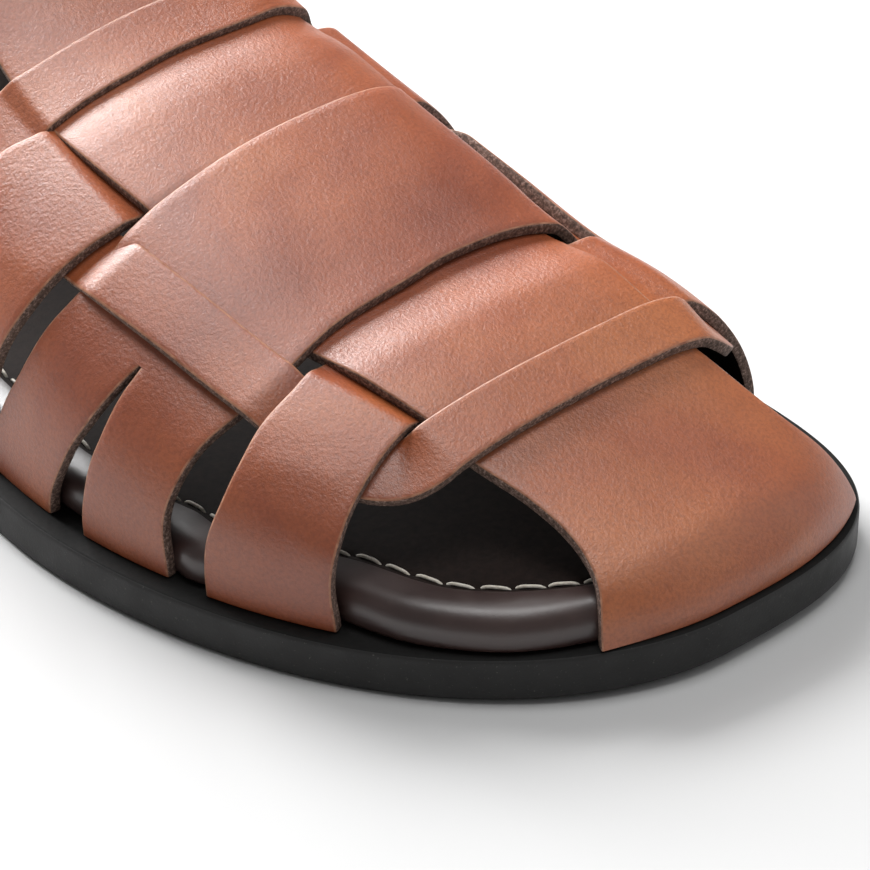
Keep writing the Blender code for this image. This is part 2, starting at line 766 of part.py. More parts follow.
def ankle_strap(group, along=60, wide=2):
    even = np.linspace(0, ANKLE[0][-1], along)
    share = np.linspace(-0.5, 0.5, wide + 1) * ANKLE_WIDTH
    tip = ease((ANKLE[0][-1] - even) / 6.0) * 0.35 + 0.65
    across = share[None, :, None] * tip[:, None, None]
    grid = on_ankle(even[:, None] + 0 * across[:, :, 0], across, 0.0)
    return band("ankle_strap", grid, ankle_levels(even)[:, None] + 0 * across[:, :, 0], group)


def tube(name, points, wire, closed, group, finish):
    """A round wire through the points."""
    curve = bpy.data.curves.new(name, "CURVE")
    curve.dimensions = "3D"
    curve.bevel_depth = wire / 2 * MM
    curve.bevel_resolution = 2
    curve.use_fill_caps = True
    spline = curve.splines.new("POLY")
    spline.points.add(len(points) - 1)
    for target, point in zip(spline.points, points):
        target.co = (*(Vector(point) * MM), 1.0)
    spline.use_cyclic_u = closed
    spline.use_smooth = True
    curve.materials.append(finish)
    item = bpy.data.objects.new(name, curve)
    group.objects.link(item)
    return item


FRONT_BAR = OVER + LEATHER + GAP + BUCKLE_WIRE / 2  # the bars' levels off the ankle strap's line
HINGE_BAR = LEATHER + GAP + BUCKLE_WIRE / 2


def build_buckle(group, metal):
    """The frame: a rounded rectangle whose hinge bar passes under the strap."""
    half_long, half_wide = BUCKLE_LENGTH / 2, (BUCKLE_INSIDE + BUCKLE_WIRE) / 2
    points = []
    for quarter_turn in range(4):
        for step in range(4):
            angle = (quarter_turn + step / 3) * math.pi / 2
            sign_along = 1 if quarter_turn in (0, 3) else -1
            sign_across = 1 if quarter_turn in (0, 1) else -1
            along = sign_along * (half_long - BUCKLE_CORNER) + BUCKLE_CORNER * math.cos(angle)
            across = sign_across * (half_wide - BUCKLE_CORNER) + BUCKLE_CORNER * math.sin(angle)
            share = (along + half_long) / BUCKLE_LENGTH
            off = FRONT_BAR + (HINGE_BAR - FRONT_BAR) * share
            points.append(on_ankle(HINGE_RUN - half_long + along, across, off))
    return tube("buckle_frame", points, BUCKLE_WIRE, True, group, metal)


def build_prong(group, metal):
    """The prong: up through the strap's hole over the hinge bar, and forward over the front bar."""
    low = HINGE_BAR + BUCKLE_WIRE / 2 + GAP
    lying = TAIL_LEVEL + LEATHER + GAP + PRONG_WIRE / 2
    rest = FRONT_BAR + BUCKLE_WIRE / 2 + GAP + PRONG_WIRE / 2
    steps = (
        # ahead of the hinge bar, off the line
        (0.0, low),
        (0.0, lying - 1.3),
        (0.4, lying - 0.5),
        (1.4, lying),
        (6.0, lying),
        (BUCKLE_LENGTH, rest),
        (BUCKLE_LENGTH + 1.8, rest - 0.1),
    )
    points = [on_ankle(HINGE_RUN - ahead, 0.0, off) for ahead, off in steps]
    return tube("buckle_prong", points, PRONG_WIRE, False, group, metal)


def prong_hole(group):
    form = bmesh.new()
    bmesh.ops.create_cone(
        form,
        cap_ends=True,
        segments=12,
        radius1=PRONG_HOLE / 2 * MM,
        radius2=PRONG_HOLE / 2 * MM,
        depth=4 * LEATHER * MM,
    )
    item = place("prong_hole", finish_mesh("prong_hole", form), group)
    base = on_ankle(HINGE_RUN, 0.0, TAIL_LEVEL + LEATHER / 2)
    up = on_ankle(HINGE_RUN, 0.0, TAIL_LEVEL + LEATHER) - base
    item.matrix_world = Matrix.Translation(Vector(base) * MM) @ Vector(up).to_track_quat(
        "Z", "Y"
    ).to_matrix().to_4x4()
    return as_helper(item)


def build_keeper(group, leather):
    """The loop that holds the strap's end down: up from the counter, over the end and down."""
    half = ANKLE_WIDTH / 2 + GAP + 0.1
    top = OVER + LEATHER + GAP + 0.1
    low = LEATHER + GAP + 0.1
    path = (
        # across, off
        (-half, low),
        (-half, top - 0.5),
        (-half + 0.5, top),
        (0.0, top),
        (half - 0.5, top),
        (half, top - 0.5),
        (half, low),
    )
    run = HINGE_RUN + KEEPER_RUN + np.linspace(-0.5, 0.5, 3) * KEEPER_WIDTH
    grid = np.array([[on_ankle(along, across, off) for along in run] for across, off in path])
    sheet = bmesh.new()
    bmesh.ops.create_grid(sheet, x_segments=grid.shape[1] - 1, y_segments=grid.shape[0] - 1, size=1)
    sheet.verts.ensure_lookup_table()
    for vert, point in zip(sheet.verts, grid.reshape(-1, 3)):
        vert.co = Vector(point) * MM
    sheet.faces.ensure_lookup_table()
    sheet.normal_update()
    outwards = on_ankle(HINGE_RUN + KEEPER_RUN, 0.0, 1.0) - on_ankle(HINGE_RUN + KEEPER_RUN, 0.0, 0.0)
    if sheet.faces[len(sheet.faces) // 2].normal.dot(Vector(outwards)) < 0:
        bmesh.ops.reverse_faces(sheet, faces=sheet.faces)
    mesh = bpy.data.meshes.new("strap_keeper")
    sheet.to_mesh(mesh)
    sheet.free()
    item = place("strap_keeper", mesh, group, leather)
    shell = item.modifiers.new("leather", "SOLIDIFY")
    shell.thickness = KEEPER_THICK * MM
    shell.offset = 1.0
    shell.use_even_offset = True
    return item


def leg_slit(side, group):
    """The wedge that parts one side end of the wide strap into two legs."""
    form = bmesh.new()
    bmesh.ops.create_cube(form, size=1.0)
    top_x, top_z = SLIT_TOP
    near, far = 36.0, 70.0
    foot_z = OUTSOLE_THICK - 2.0
    for vert in form.verts:
        front, outer_end, high = vert.co.x > 0, vert.co.y > 0, vert.co.z > 0
        half = SLIT_TOP_WIDTH / 2
        x = top_x + (half if front else -half) if high else SLIT_FOOT[1 if front else 0]
        y = side * (far if outer_end else near)
        vert.co = Vector((x, y, top_z if high else foot_z)) * MM
    name = "outer_slit" if side == OUTER else "inner_slit"
    return as_helper(place(name, finish_mesh(name, form), group))


def build_upper(group, helpers, leather):
    upper = centre_strap(group)
    upper.name = "upper"
    upper.data.materials.append(leather)
    pieces = [
        cross_strap("front_strap", FRONT_STRAP, helpers),
        cross_strap("wide_strap", WIDE_STRAP, helpers),
        cross_strap("third_strap", THIRD_STRAP, helpers),
        cross_strap("instep_strap", INSTEP_STRAP, helpers),
        u_strap(helpers),
        counter(helpers),
        ankle_strap(helpers),
    ]
    wide_one = pieces[1]
    for side in (OUTER, INNER):
        boolean(wide_one, leg_slit(side, helpers), "DIFFERENCE")
    for piece in pieces:
        boolean(upper, as_helper(piece), "UNION")
    boolean(upper, prong_hole(helpers), "DIFFERENCE")
    return upper


def main():
    clear_scene()
    parts = new_collection("fisherman_sandal")
    helpers = new_collection("cutters")
    tan = material("tan_leather", (0.42, 0.16, 0.08), 0.42)
    dark = material("dark_leather", (0.03, 0.016, 0.014), 0.35)
    rubber = material("black_rubber", (0.02, 0.02, 0.019), 0.75)
    metal = material("brushed_brass", (0.55, 0.42, 0.2), 0.35, 1.0)
    build_outsole(parts, rubber)
    build_heel(parts, rubber)
    build_footbed(parts, dark)
    build_upper(parts, helpers, tan)
    build_buckle(parts, metal)
    build_prong(parts, metal)
    build_keeper(parts, tan)


main()
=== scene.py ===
"""Looks, camera and light for the fisherman sandal.

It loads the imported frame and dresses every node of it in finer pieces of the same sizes. Lengths
below are millimetres, and MM turns them into metres where meshes are made.
"""

import math
import random

import bpy
import numpy as np
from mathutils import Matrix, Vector


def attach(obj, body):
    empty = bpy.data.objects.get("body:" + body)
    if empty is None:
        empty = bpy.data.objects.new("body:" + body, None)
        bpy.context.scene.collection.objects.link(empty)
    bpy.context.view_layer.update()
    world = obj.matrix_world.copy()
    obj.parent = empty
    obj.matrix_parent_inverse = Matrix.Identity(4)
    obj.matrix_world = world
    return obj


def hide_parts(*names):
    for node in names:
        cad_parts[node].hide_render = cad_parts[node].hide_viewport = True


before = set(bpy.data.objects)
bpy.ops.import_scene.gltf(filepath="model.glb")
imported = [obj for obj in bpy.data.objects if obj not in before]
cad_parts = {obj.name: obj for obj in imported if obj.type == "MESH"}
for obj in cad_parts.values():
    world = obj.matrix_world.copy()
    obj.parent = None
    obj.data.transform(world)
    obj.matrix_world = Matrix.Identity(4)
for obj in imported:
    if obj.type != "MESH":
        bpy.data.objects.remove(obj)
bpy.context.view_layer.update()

MM = 0.001
OUTER, INNER = -1, 1

# ---------------------------------------------------------------- the sandal's sizes

SOLE_LENGTH = 300.0
TOE_X, HEEL_X = SOLE_LENGTH / 2, -SOLE_LENGTH / 2
OUTSOLE_THICK = 7.5
FOOTBED_THICK = 6.5
LEATHER = 2.0
SHELF = 3.2
GAP = 0.3
OVER = 2.05  # a strap that crosses another lies this far off the last
WIDE_OVER = OVER + 0.15
HEEL_INSET = 0.6
HEEL_LIFT = 12.0
HEEL_FRONT_X = -84.0
SHANK = (30.0, -80.0)  # x where the arch starts and where the heel's lift is full
TOE_SPRING = 1.2
TOE_SPRING_X = 110.0
LAST_INSET = SHELF + LEATHER
TOE_SWELL = 2.2
TOE_SWELL_X = (116.0, 138.0)
TOE_TIP_Y = 9.9
HEEL_TIP_Y = 0.0
# length, width, power
TOE_CAP = {OUTER: (90.7, 65.2, 1.91), INNER: (47.5, 45.4, 3.12)}
HEEL_CAP_LENGTH = 42.0
HEEL_CAP_POWER = 2.25
CAP_JOIN = 12.0  # length beside a cap over which the side runs straight on
# x, outer y, inner y
OUTLINE = (
    (62.0, -55.3, 50.8),
    (25.0, -52.6, 46.4),
    (-20.0, -45.4, 38.4),
    (-62.0, -39.0, 34.0),
    (HEEL_X + HEEL_CAP_LENGTH, -36.2, 35.6),
)
# x, y of the last's ridge
RIDGE = (
    (140.0, 21.7),
    (117.0, 22.2),
    (100.0, 18.4),
    (87.0, 12.7),
    (70.0, 10.0),
    (50.0, 7.4),
    (25.0, 6.9),
    (-30.0, 0.0),
    (-105.0, 0.0),
)
# x, height of that ridge over the outsole
CROWN = (
    (140.0, 9.9),
    (117.0, 20.7),
    (100.0, 26.9),
    (87.0, 29.9),
    (70.0, 36.4),
    (50.0, 43.1),
    (25.0, 50.5),
    (0.0, 60.0),
    (-15.0, 68.5),
    (-30.0, 79.5),
)
TOE_FRONT = (8.0, 2.4)  # length and power of the curve that closes the last's toe
# powers of the last's section, across and up
SECTION = {OUTER: (2.8, 3.2), INNER: (2.9, 1.35)}
# x, y of the middle of the strap along the foot
STRAP_LINE = (
    (TOE_X, 19.2),
    (118.0, 11.0),
    (91.0, 5.5),
    (57.0, -0.4),
    (20.0, -2.0),
    (-30.0, -1.4),
)

# where, front x, back x, level
FRONT_STRAP = (
    (-1.0, 114.3, 95.0, 0.7),
    (-0.9, 113.5, 95.2, 1.3),
    (-0.77, 112.7, 95.9, OVER),
    (-0.66, 111.6, 95.4, OVER),
    (-0.53, 110.1, 94.0, OVER),
    (-0.42, 108.7, 93.2, OVER),
    (-0.37, 108.2, 92.5, OVER),
    (-0.31, 107.7, 91.6, 0.0),
    (0.0, 107.4, 92.0, 0.0),
    (0.12, 107.6, 91.0, 0.0),
    (0.19, 107.7, 89.4, 0.1),
    (0.3, 107.9, 89.0, OVER),
    (0.45, 108.2, 90.5, OVER),
    (0.6, 109.0, 92.6, OVER),
    (0.8, 110.0, 93.4, 1.5),
    (1.0, 110.5, 94.0, 0.9),
)
WIDE_STRAP = (
    (-1.0, 88.2, 47.0, 0.0),
    (-0.9, 87.4, 51.2, 0.0),
    (-0.79, 87.9, 54.6, 0.0),
    (-0.66, 88.5, 56.3, 0.0),
    (-0.53, 89.6, 57.5, 0.0),
    (-0.46, 90.0, 57.2, 0.0),
    (-0.41, 90.2, 57.1, 1.0),
    (-0.37, 90.0, 56.8, 1.75),
    (-0.34, 89.7, 56.6, 1.95),
    (-0.29, 89.0, 56.1, OVER + 0.1),
    (-0.23, 88.1, 55.6, WIDE_OVER),
    (-0.08, 86.8, 53.8, WIDE_OVER),
    (0.0, 85.5, 52.9, WIDE_OVER),
    (0.08, 85.8, 52.4, WIDE_OVER),
    (0.2, 86.5, 51.4, WIDE_OVER),
    (0.25, 87.0, 51.3, 1.2),
    (0.3, 87.5, 51.2, 0.1),
    (0.6, 88.5, 51.0, 0.0),
    (0.8, 88.3, 49.5, 0.0),
    (1.0, 87.5, 45.0, 0.0),
)
THIRD_STRAP = (
    (-1.0, 46.5, 20.5, 0.6),
    (-0.9, 48.6, 22.6, 1.2),
    (-0.74, 51.7, 26.0, OVER),
    (-0.65, 53.0, 27.6, OVER),
    (-0.53, 54.1, 29.6, OVER),
    (-0.44, 54.9, 31.0, OVER),
    (-0.37, 55.6, 32.8, OVER),
    (-0.31, 55.2, 33.6, 0.0),
    (0.0, 54.0, 33.0, 0.0),
    (0.2, 53.5, 32.0, 0.0),
    (0.285, 53.3, 31.4, OVER),
    (0.45, 53.0, 30.5, OVER),
    (0.7, 50.0, 26.0, OVER),
    (0.85, 47.0, 22.0, 1.3),
    (1.0, 44.0, 17.0, 0.9),
)
INSTEP_STRAP = (
    (-1.0, 13.0, -5.0, 0.0),
    (-0.75, 22.0, 7.0, 0.0),
    (-0.46, 31.6, 18.4, 0.0),
    (-0.38, 33.0, 20.8, 0.2),
    (-0.33, 33.6, 22.0, OVER),
    (-0.24, 33.3, 22.5, OVER),
    (-0.15, 33.0, 22.3, OVER),
    (-0.05, 32.0, 21.8, OVER),
    (0.03, 31.6, 21.5, OVER),
    (0.12, 30.2, 20.6, OVER),
    (0.2, 29.4, 19.6, OVER),
    (0.29, 28.2, 18.0, 0.0),
    (0.45, 26.0, 14.6, 0.0),
    (0.75, 17.0, 3.0, 0.0),
    (1.0, 9.0, -9.0, 0.0),
)
# x, outer y, inner y
CENTRE_STRAP = (
    (144.6, -11.6, 47.6),
    (140.0, -8.1, 44.5),
    (135.5, -7.2, 41.0),
    (131.4, -7.4, 38.0),
    (126.0, -8.7, 35.5),
    (117.2, -12.0, 32.8),
    (107.4, -14.9, 29.9),
    (99.4, -17.5, 29.2),
    (90.6, -19.9, 28.3),
    (75.0, -23.3, 26.8),
    (57.0, -25.4, 25.0),
    (45.0, -26.7, 24.0),
    (34.0, -27.0, 23.3),
    (20.0, -26.1, 22.5),
    (0.0, -22.4, 19.6),
    (-32.0, -12.4, 9.6),
)
# x, level
CENTRE_LEVELS = (
    (122.0, 0.0),
    (117.0, 0.0),
    (114.0, 0.4),
    (111.0, 1.3),
    (108.0, 1.95),
    (104.0, OVER),
    (99.0, OVER),
    (92.0, 1.1),
    (84.0, 0.0),
    (62.0, 0.0),
    (54.5, OVER),
    (43.0, OVER),
    (38.5, 1.7),
    (34.0, 0.9),
    (24.0, 0.0),
    (0.0, 0.0),
)
CENTRE_STRAP_END = -31.0
U_STRAP_X = 112.4
U_STRAP_SKEW = 0.02
U_STRAP_OFFSET = 34.1
U_STRAP_CORNER = 8.0
U_STRAP_END = 47.0
# distance from the middle along the strap, width, level at its heel edge, level at its toe edge
U_STRAP = (
    (0.0, 8.9, 2.6, 2.1),
    (24.0, 9.2, 2.5, 2.1),
    (32.0, 9.7, 0.0, 0.0),
    (42.0, 10.2, 0.0, 0.0),
    (49.0, 10.2, 0.0, 0.0),
    (56.0, 10.2, OVER, OVER),
    (86.0, 10.2, OVER, OVER),
    (93.0, 10.2, 0.0, 0.0),
    (120.0, 10.2, 0.0, 0.0),
)
# where, and the slit's edges as shares of the wide strap's width from its heel side
SLIT = (
    (0.575, 0.5, 0.506),
    (0.61, 0.5, 0.519),
    (0.66, 0.499, 0.532),
    (0.745, 0.484, 0.552),
    (0.84, 0.46, 0.568),
    (0.925, 0.44, 0.582),
    (1.0, 0.398, 0.58),
)

COUNTER_FRONT_X = -34.0
COUNTER_TOP = 52.0
COUNTER_RISE = 9.0
COUNTER_SLANT = 30.0
COUNTER_PATH = 135.0
COUNTER_LEAN = 8.0
COUNTER_BULGE = 2.4
ANKLE_WIDTH = 15.0
ANKLE_SIDE = (-66.0, 66.0)
ANKLE_CROWN_X = -22.0
ANKLE_SQUARE = 0.86
ANKLE_LAPS = {OUTER: 46.0, INNER: 20.0}
INSTEP_SLOPE = math.radians(38.0)
BUCKLE_WIRE = 2.4
BUCKLE_TAIL = 30.0
TAIL_LEVEL = LEATHER + BUCKLE_WIRE + 2 * GAP
BUCKLE_LENGTH = 17.0
BUCKLE_INSIDE = 17.0
BUCKLE_CORNER = 3.0
PRONG_WIRE = 2.0
KEEPER_RUN = 17.0
KEEPER_WIDTH = 7.0
KEEPER_THICK = 1.6
FOOTBED_GAP = 0.8
STITCH_INSET = 7.5  # inside the footbed's edge
STITCH_PITCH = 5.1

# ---------------------------------------------------------------- numbers along the shoe


def smooth(xs, ys, x, held=False):
    """A smooth curve through the rows, read at x; held keeps it from passing its rows' values."""
    xs = np.asarray(xs, float)
    ys = np.asarray(ys, float)
    if xs[0] > xs[-1]:
        xs, ys = xs[::-1], ys[::-1]
    steps = np.diff(ys) / np.diff(xs)
    slopes = np.gradient(ys, xs)
    if held:
        same = steps[:-1] * steps[1:] > 0
        total = np.where(same, steps[:-1] + steps[1:], 1)
        slopes[1:-1] = np.where(same, 2 * steps[:-1] * steps[1:] / total, 0)
    x = np.asarray(x, float)
    inside = np.clip(x, xs[0], xs[-1])
    i = np.clip(np.searchsorted(xs, inside) - 1, 0, len(xs) - 2)
    width = xs[i + 1] - xs[i]
    t = (inside - xs[i]) / width
    value = (
        (2 * t**3 - 3 * t**2 + 1) * ys[i]
        + (t**3 - 2 * t**2 + t) * width * slopes[i]
        + (3 * t**2 - 2 * t**3) * ys[i + 1]
        + (t**3 - t**2) * width * slopes[i + 1]
    )
    return value + (x - inside) * np.where(x < xs[0], slopes[0], slopes[-1])


def column(table, where, number, held=False):
    """One column of a table, read along its first one."""
    return smooth([row[0] for row in table], [row[number] for row in table], where, held)


def ease(t):
    t = np.clip(t, 0, 1)
    return t * t * (3 - 2 * t)


def unit(vectors):
    return vectors / np.linalg.norm(vectors, axis=-1, keepdims=True)


def run_along(points):
    """The distance of each point from the first, along the line."""
    return np.concatenate([[0], np.cumsum(np.linalg.norm(np.diff(points, axis=0), axis=1))])


def read_line(at, run, points):
    """The line at the places given, where run has the place of each of its points."""
    return np.stack([np.interp(at, run, values) for values in points.T], -1)


def sole_rise(x):
    x = np.asarray(x, float)
    toe = TOE_SPRING * (np.clip(x - TOE_SPRING_X, 0, None) / (TOE_X - TOE_SPRING_X)) ** 2
    return toe + HEEL_LIFT * ease((SHANK[0] - x) / (SHANK[0] - SHANK[1]))


def outsole_top(x):
    return sole_rise(x) + OUTSOLE_THICK


def quarter(length, width, power, count):
    turn = np.linspace(0, math.pi / 2, count)
    back = length * (1 - np.clip(np.cos(turn), 0, 1) ** (2 / power))
    return back, width * np.sin(turn) ** (2 / power)


def side_line(side, count=240):
    """One side of the sole from the toe's tip to the heel's, as caps with a curve between them."""
    length, width, power = TOE_CAP[side]
    back, out = quarter(length, width, power, count)
    toe = np.stack([TOE_X - back, TOE_TIP_Y + side * out], 1)
    number = 1 if side == OUTER else 2
    rows = [row for row in OUTLINE if row[0] < toe[-1, 0] - CAP_JOIN]
    xs = [toe[-1, 0] + CAP_JOIN, toe[-1, 0], *[row[0] for row in rows], rows[-1][0] - CAP_JOIN]
    ys = [toe[-1, 1]] * 2 + [row[number] for row in rows] + [rows[-1][number]]
    x = np.linspace(toe[-1, 0], rows[-1][0], count)[1:]
    middle = np.stack([x, smooth(xs, ys, x)], 1)
    width = abs(rows[-1][number] - HEEL_TIP_Y)
    back, out = quarter(HEEL_CAP_LENGTH, width, HEEL_CAP_POWER, count)
    heel = np.stack([HEEL_X + back, HEEL_TIP_Y + side * out], 1)[::-1][1:]
    return np.concatenate([toe, middle, heel])


def outline(inset=0.0, swell=0.0, count=2400):
    """The sole's closed outline moved inwards by inset, less swell at the toe, anticlockwise."""
    loop = np.concatenate([side_line(INNER), side_line(OUTER)[::-1][1:]])
    run = run_along(loop)
    apart = np.concatenate([[True], np.diff(run) > 1e-6])
    even = np.linspace(0, run[-1], count, endpoint=False)
    points = read_line(even, run[apart], loop[apart])
    along = unit(np.roll(points, -1, 0) - np.roll(points, 1, 0))
    outwards = np.stack([along[:, 1], -along[:, 0]], 1)
    start, end = TOE_SWELL_X
    here = inset - swell * ease((points[:, 0] - start) / (end - start))
    return points - here[:, None] * outwards


def edge_reader(inset, swell):
    """A reader of the moved outline's y at x on one side, and the x of its toe."""
    loop = outline(inset, swell)
    first, last = int(np.argmax(loop[:, 0])), int(np.argmin(loop[:, 0]))
    loop = np.roll(loop, -first, 0)
    last = (last - first) % len(loop)
    sides = {INNER: loop[: last + 1][::-1], OUTER: np.concatenate([loop[last:], loop[:1]])}

    def read(x, side):
        return np.interp(x, sides[side][:, 0], sides[side][:, 1])

    return read, float(loop[:, 0].max())


LAST_EDGE, LAST_TOE = edge_reader(LAST_INSET, TOE_SWELL)


def ridge_y(x):
    return column(RIDGE, x, 1)


def strap_y(x):
    return column(STRAP_LINE, x, 1)


def crown(x):
    length, power = TOE_FRONT
    front = (1 - (1 - np.clip((LAST_TOE - x) / length, 0, 1)) ** power) ** (1 / power)
    return column(CROWN, x, 1) * front


def last_section(x):
    """The ridge's y, and the outer and inner edges' y, of the last's section at x."""
    outer, inner = LAST_EDGE(x, OUTER), LAST_EDGE(x, INNER)
    return np.clip(ridge_y(x), outer, inner), outer, inner


def powers(on_outer):
    """The section's powers across and up, on its outer side where on_outer, else its inner."""
    return [np.where(on_outer, SECTION[OUTER][i], SECTION[INNER][i]) for i in (0, 1)]


def last_at(x, where):
    """The last's surface at station x, where runs -1 outer edge, 0 ridge, +1 inner edge."""
    across, up = powers(where < 0)
    turn = np.abs(where) * math.pi / 2
    middle, outer, inner = last_section(x)
    reach = np.where(where < 0, outer, inner) - middle
    y = middle + reach * np.sin(turn) ** (2 / across)
    z = outsole_top(x) + GAP + crown(x) * np.clip(np.cos(turn), 0, 1) ** (2 / up)
    return np.stack([x + 0 * y, y, z], -1)


def last_over(x, y):
    """The last's surface straight above (x, y)."""
    middle, outer, inner = last_section(x)
    across, up = powers(y < middle)
    reach = np.where(y < middle, outer, inner) - middle
    share = np.clip((y - middle) / np.where(np.abs(reach) < 1e-6, 1e-6, reach), 0, 1)
    z = outsole_top(x) + GAP + crown(x) * (1 - share**across) ** (1 / up)
    return np.stack([x + 0 * y, middle + reach * share, z], -1)


# ---------------------------------------------------------------- meshes


def add_mesh(name, points, faces, materials, indexes=None, uvs=None, smooth_angle=40):
    """A mesh from points in millimetres, quads and triangles, with optional UVs for each point."""
    mesh = bpy.data.meshes.new(name)
    mesh.from_pydata((np.asarray(points) * MM).tolist(), [], faces)
    for made in materials:
        mesh.materials.append(made)
    if indexes is not None:
        mesh.polygons.foreach_set("material_index", indexes)
    if uvs is not None:
        layer = mesh.uv_layers.new(name="millimetres")
        corner = np.empty(len(mesh.loops), int)
        mesh.loops.foreach_get("vertex_index", corner)
        layer.data.foreach_set("uv", np.asarray(uvs, float)[corner].ravel())
    mesh.validate()
    mesh.shade_smooth()
    mesh.set_sharp_from_angle(angle=math.radians(smooth_angle))
    item = bpy.data.objects.new(name, mesh)
    bpy.context.scene.collection.objects.link(item)
    return item


def loft(rings, cap=True, flip=False):
    """Faces that join successive closed rings of equal length; rings is (n, m, 3)."""
    n, m = rings.shape[:2]
    faces = []
    for i in range(n - 1):
        for j in range(m):
            k = (j + 1) % m
            faces.append((i * m + j, i * m + k, (i + 1) * m + k, (i + 1) * m + j))
    if cap:
        faces += [tuple(range(m))[::-1], tuple(range((n - 1) * m, n * m))]
    return [face[::-1] for face in faces] if flip else faces


EDGE_ROUND = 0.42  # radius of a strap's upper edge
UNDER_ROUND = 0.2
ROUND_STEP = 0.3  # a rounded edge's middle point stands in by this share of the radius
# The last place, the ring of a strap's rounded upper corner, takes a paler tan: a painted
# highlight.
TOP, EDGE, UNDER, CORNER_HIGHLIGHT = 0, 1, 2, 3  # places in LEATHERS
PROBES = 13  # points across a strap from which its width and middle line are read
FOOT_PULL = 0.3  # a strap's foot is drawn in this far where it goes under the footbed
FOOT_HEIGHT = 6.0  # a foot's pull starts at this height over the sole


def strap(name, at, level, u, thick=LEATHER, count=26, foot=None, relief=None):
    """A leather strap as a solid with softened upper edges.

    at(u, v) is the surface that it lies on, u along it and v 0..1 across it. level(u, v) is how
    far its underside lies off that. foot(v) is how far its foot stands out beside the footbed,
    and relief(u, v) a fine height of the whole strap, as of a crease.
    """
    probe = at(u[:, None], np.linspace(0, 1, PROBES)[None] + 0 * u[:, None])
    width = np.linalg.norm(np.diff(probe, axis=1), axis=2).sum(1)[:, None]
    inner = np.linspace(0, 1, count)
    under, over = ROUND_STEP * UNDER_ROUND, ROUND_STEP * EDGE_ROUND
    # inset, share, height of each point of the strap's edge, from its underside up
    wall = (
        (under, 0, under),
        (0.0, 0, UNDER_ROUND),
        (0.0, 0, thick * 0.5),
        (0.0, 0, thick - EDGE_ROUND),
        (over, 0, thick - over),
    )
    # where it is, inset from that edge, share of the width between the edges, height, material
    # the underside takes the near-black lining, darkened as painted shade
    ring = [("mid", UNDER_ROUND, share, 0.0, UNDER) for share in inner]
    # the upper corner's rings take the paler tan of a painted highlight
    ring += [("far", *step, kind) for step, kind in zip(wall, [EDGE] * 4 + [CORNER_HIGHLIGHT])]
    ring += [("mid", EDGE_ROUND, share, thick, TOP) for share in inner[:0:-1]]
    ring += [("mid", EDGE_ROUND, 0.0, thick, CORNER_HIGHLIGHT)]
    ring += [("near", *step, kind) for step, kind in zip(wall[::-1], [EDGE] * 4 + [UNDER])]
    v = []
    for kind, inset, share, _, _ in ring:
        part = inset / width[:, 0]
        if kind == "mid":
            v.append(part + (1 - 2 * part) * share)
        else:
            v.append(part if kind == "near" else 1 - part)
    v = np.stack(v, 1)
    uu = u[:, None] + 0 * v
    base = at(uu, v)
    step_u, step_v = (u[-1] - u[0]) * 1e-4, 1e-3
    along = at(np.clip(uu + step_u, u.min(), u.max()), v)
    along -= at(np.clip(uu - step_u, u.min(), u.max()), v)
    across = at(uu, np.clip(v + step_v, 0, 1)) - at(uu, np.clip(v - step_v, 0, 1))
    normal = np.cross(along, across)
    normal /= np.maximum(np.linalg.norm(normal, axis=2, keepdims=True), 1e-12)
    turned = normal[:, :, 2].sum() < 0
    if turned:
        normal = -normal
    off = level(uu, v) + np.array([entry[3] for entry in ring])[None]
    if relief is not None:
        off = off + relief(uu, v)
    if foot is not None:
        above = base[:, :, 2] - outsole_top(base[:, :, 0]) - GAP
        off = off + foot(v) * np.clip(1 - above / FOOT_HEIGHT, 0, 1) ** 2
    points = base + normal * off[:, :, None]
    indexes = [entry[4] for entry in ring] * (len(u) - 1) + [EDGE, EDGE]
    uvs = np.stack([run_along(probe[:, PROBES // 2])[:, None] + 0 * v, v * width], -1)
    faces = loft(points, flip=not turned)
    return add_mesh(name, points.reshape(-1, 3), faces, LEATHERS, indexes, uvs.reshape(-1, 2), 50)


# ---------------------------------------------------------------- materials


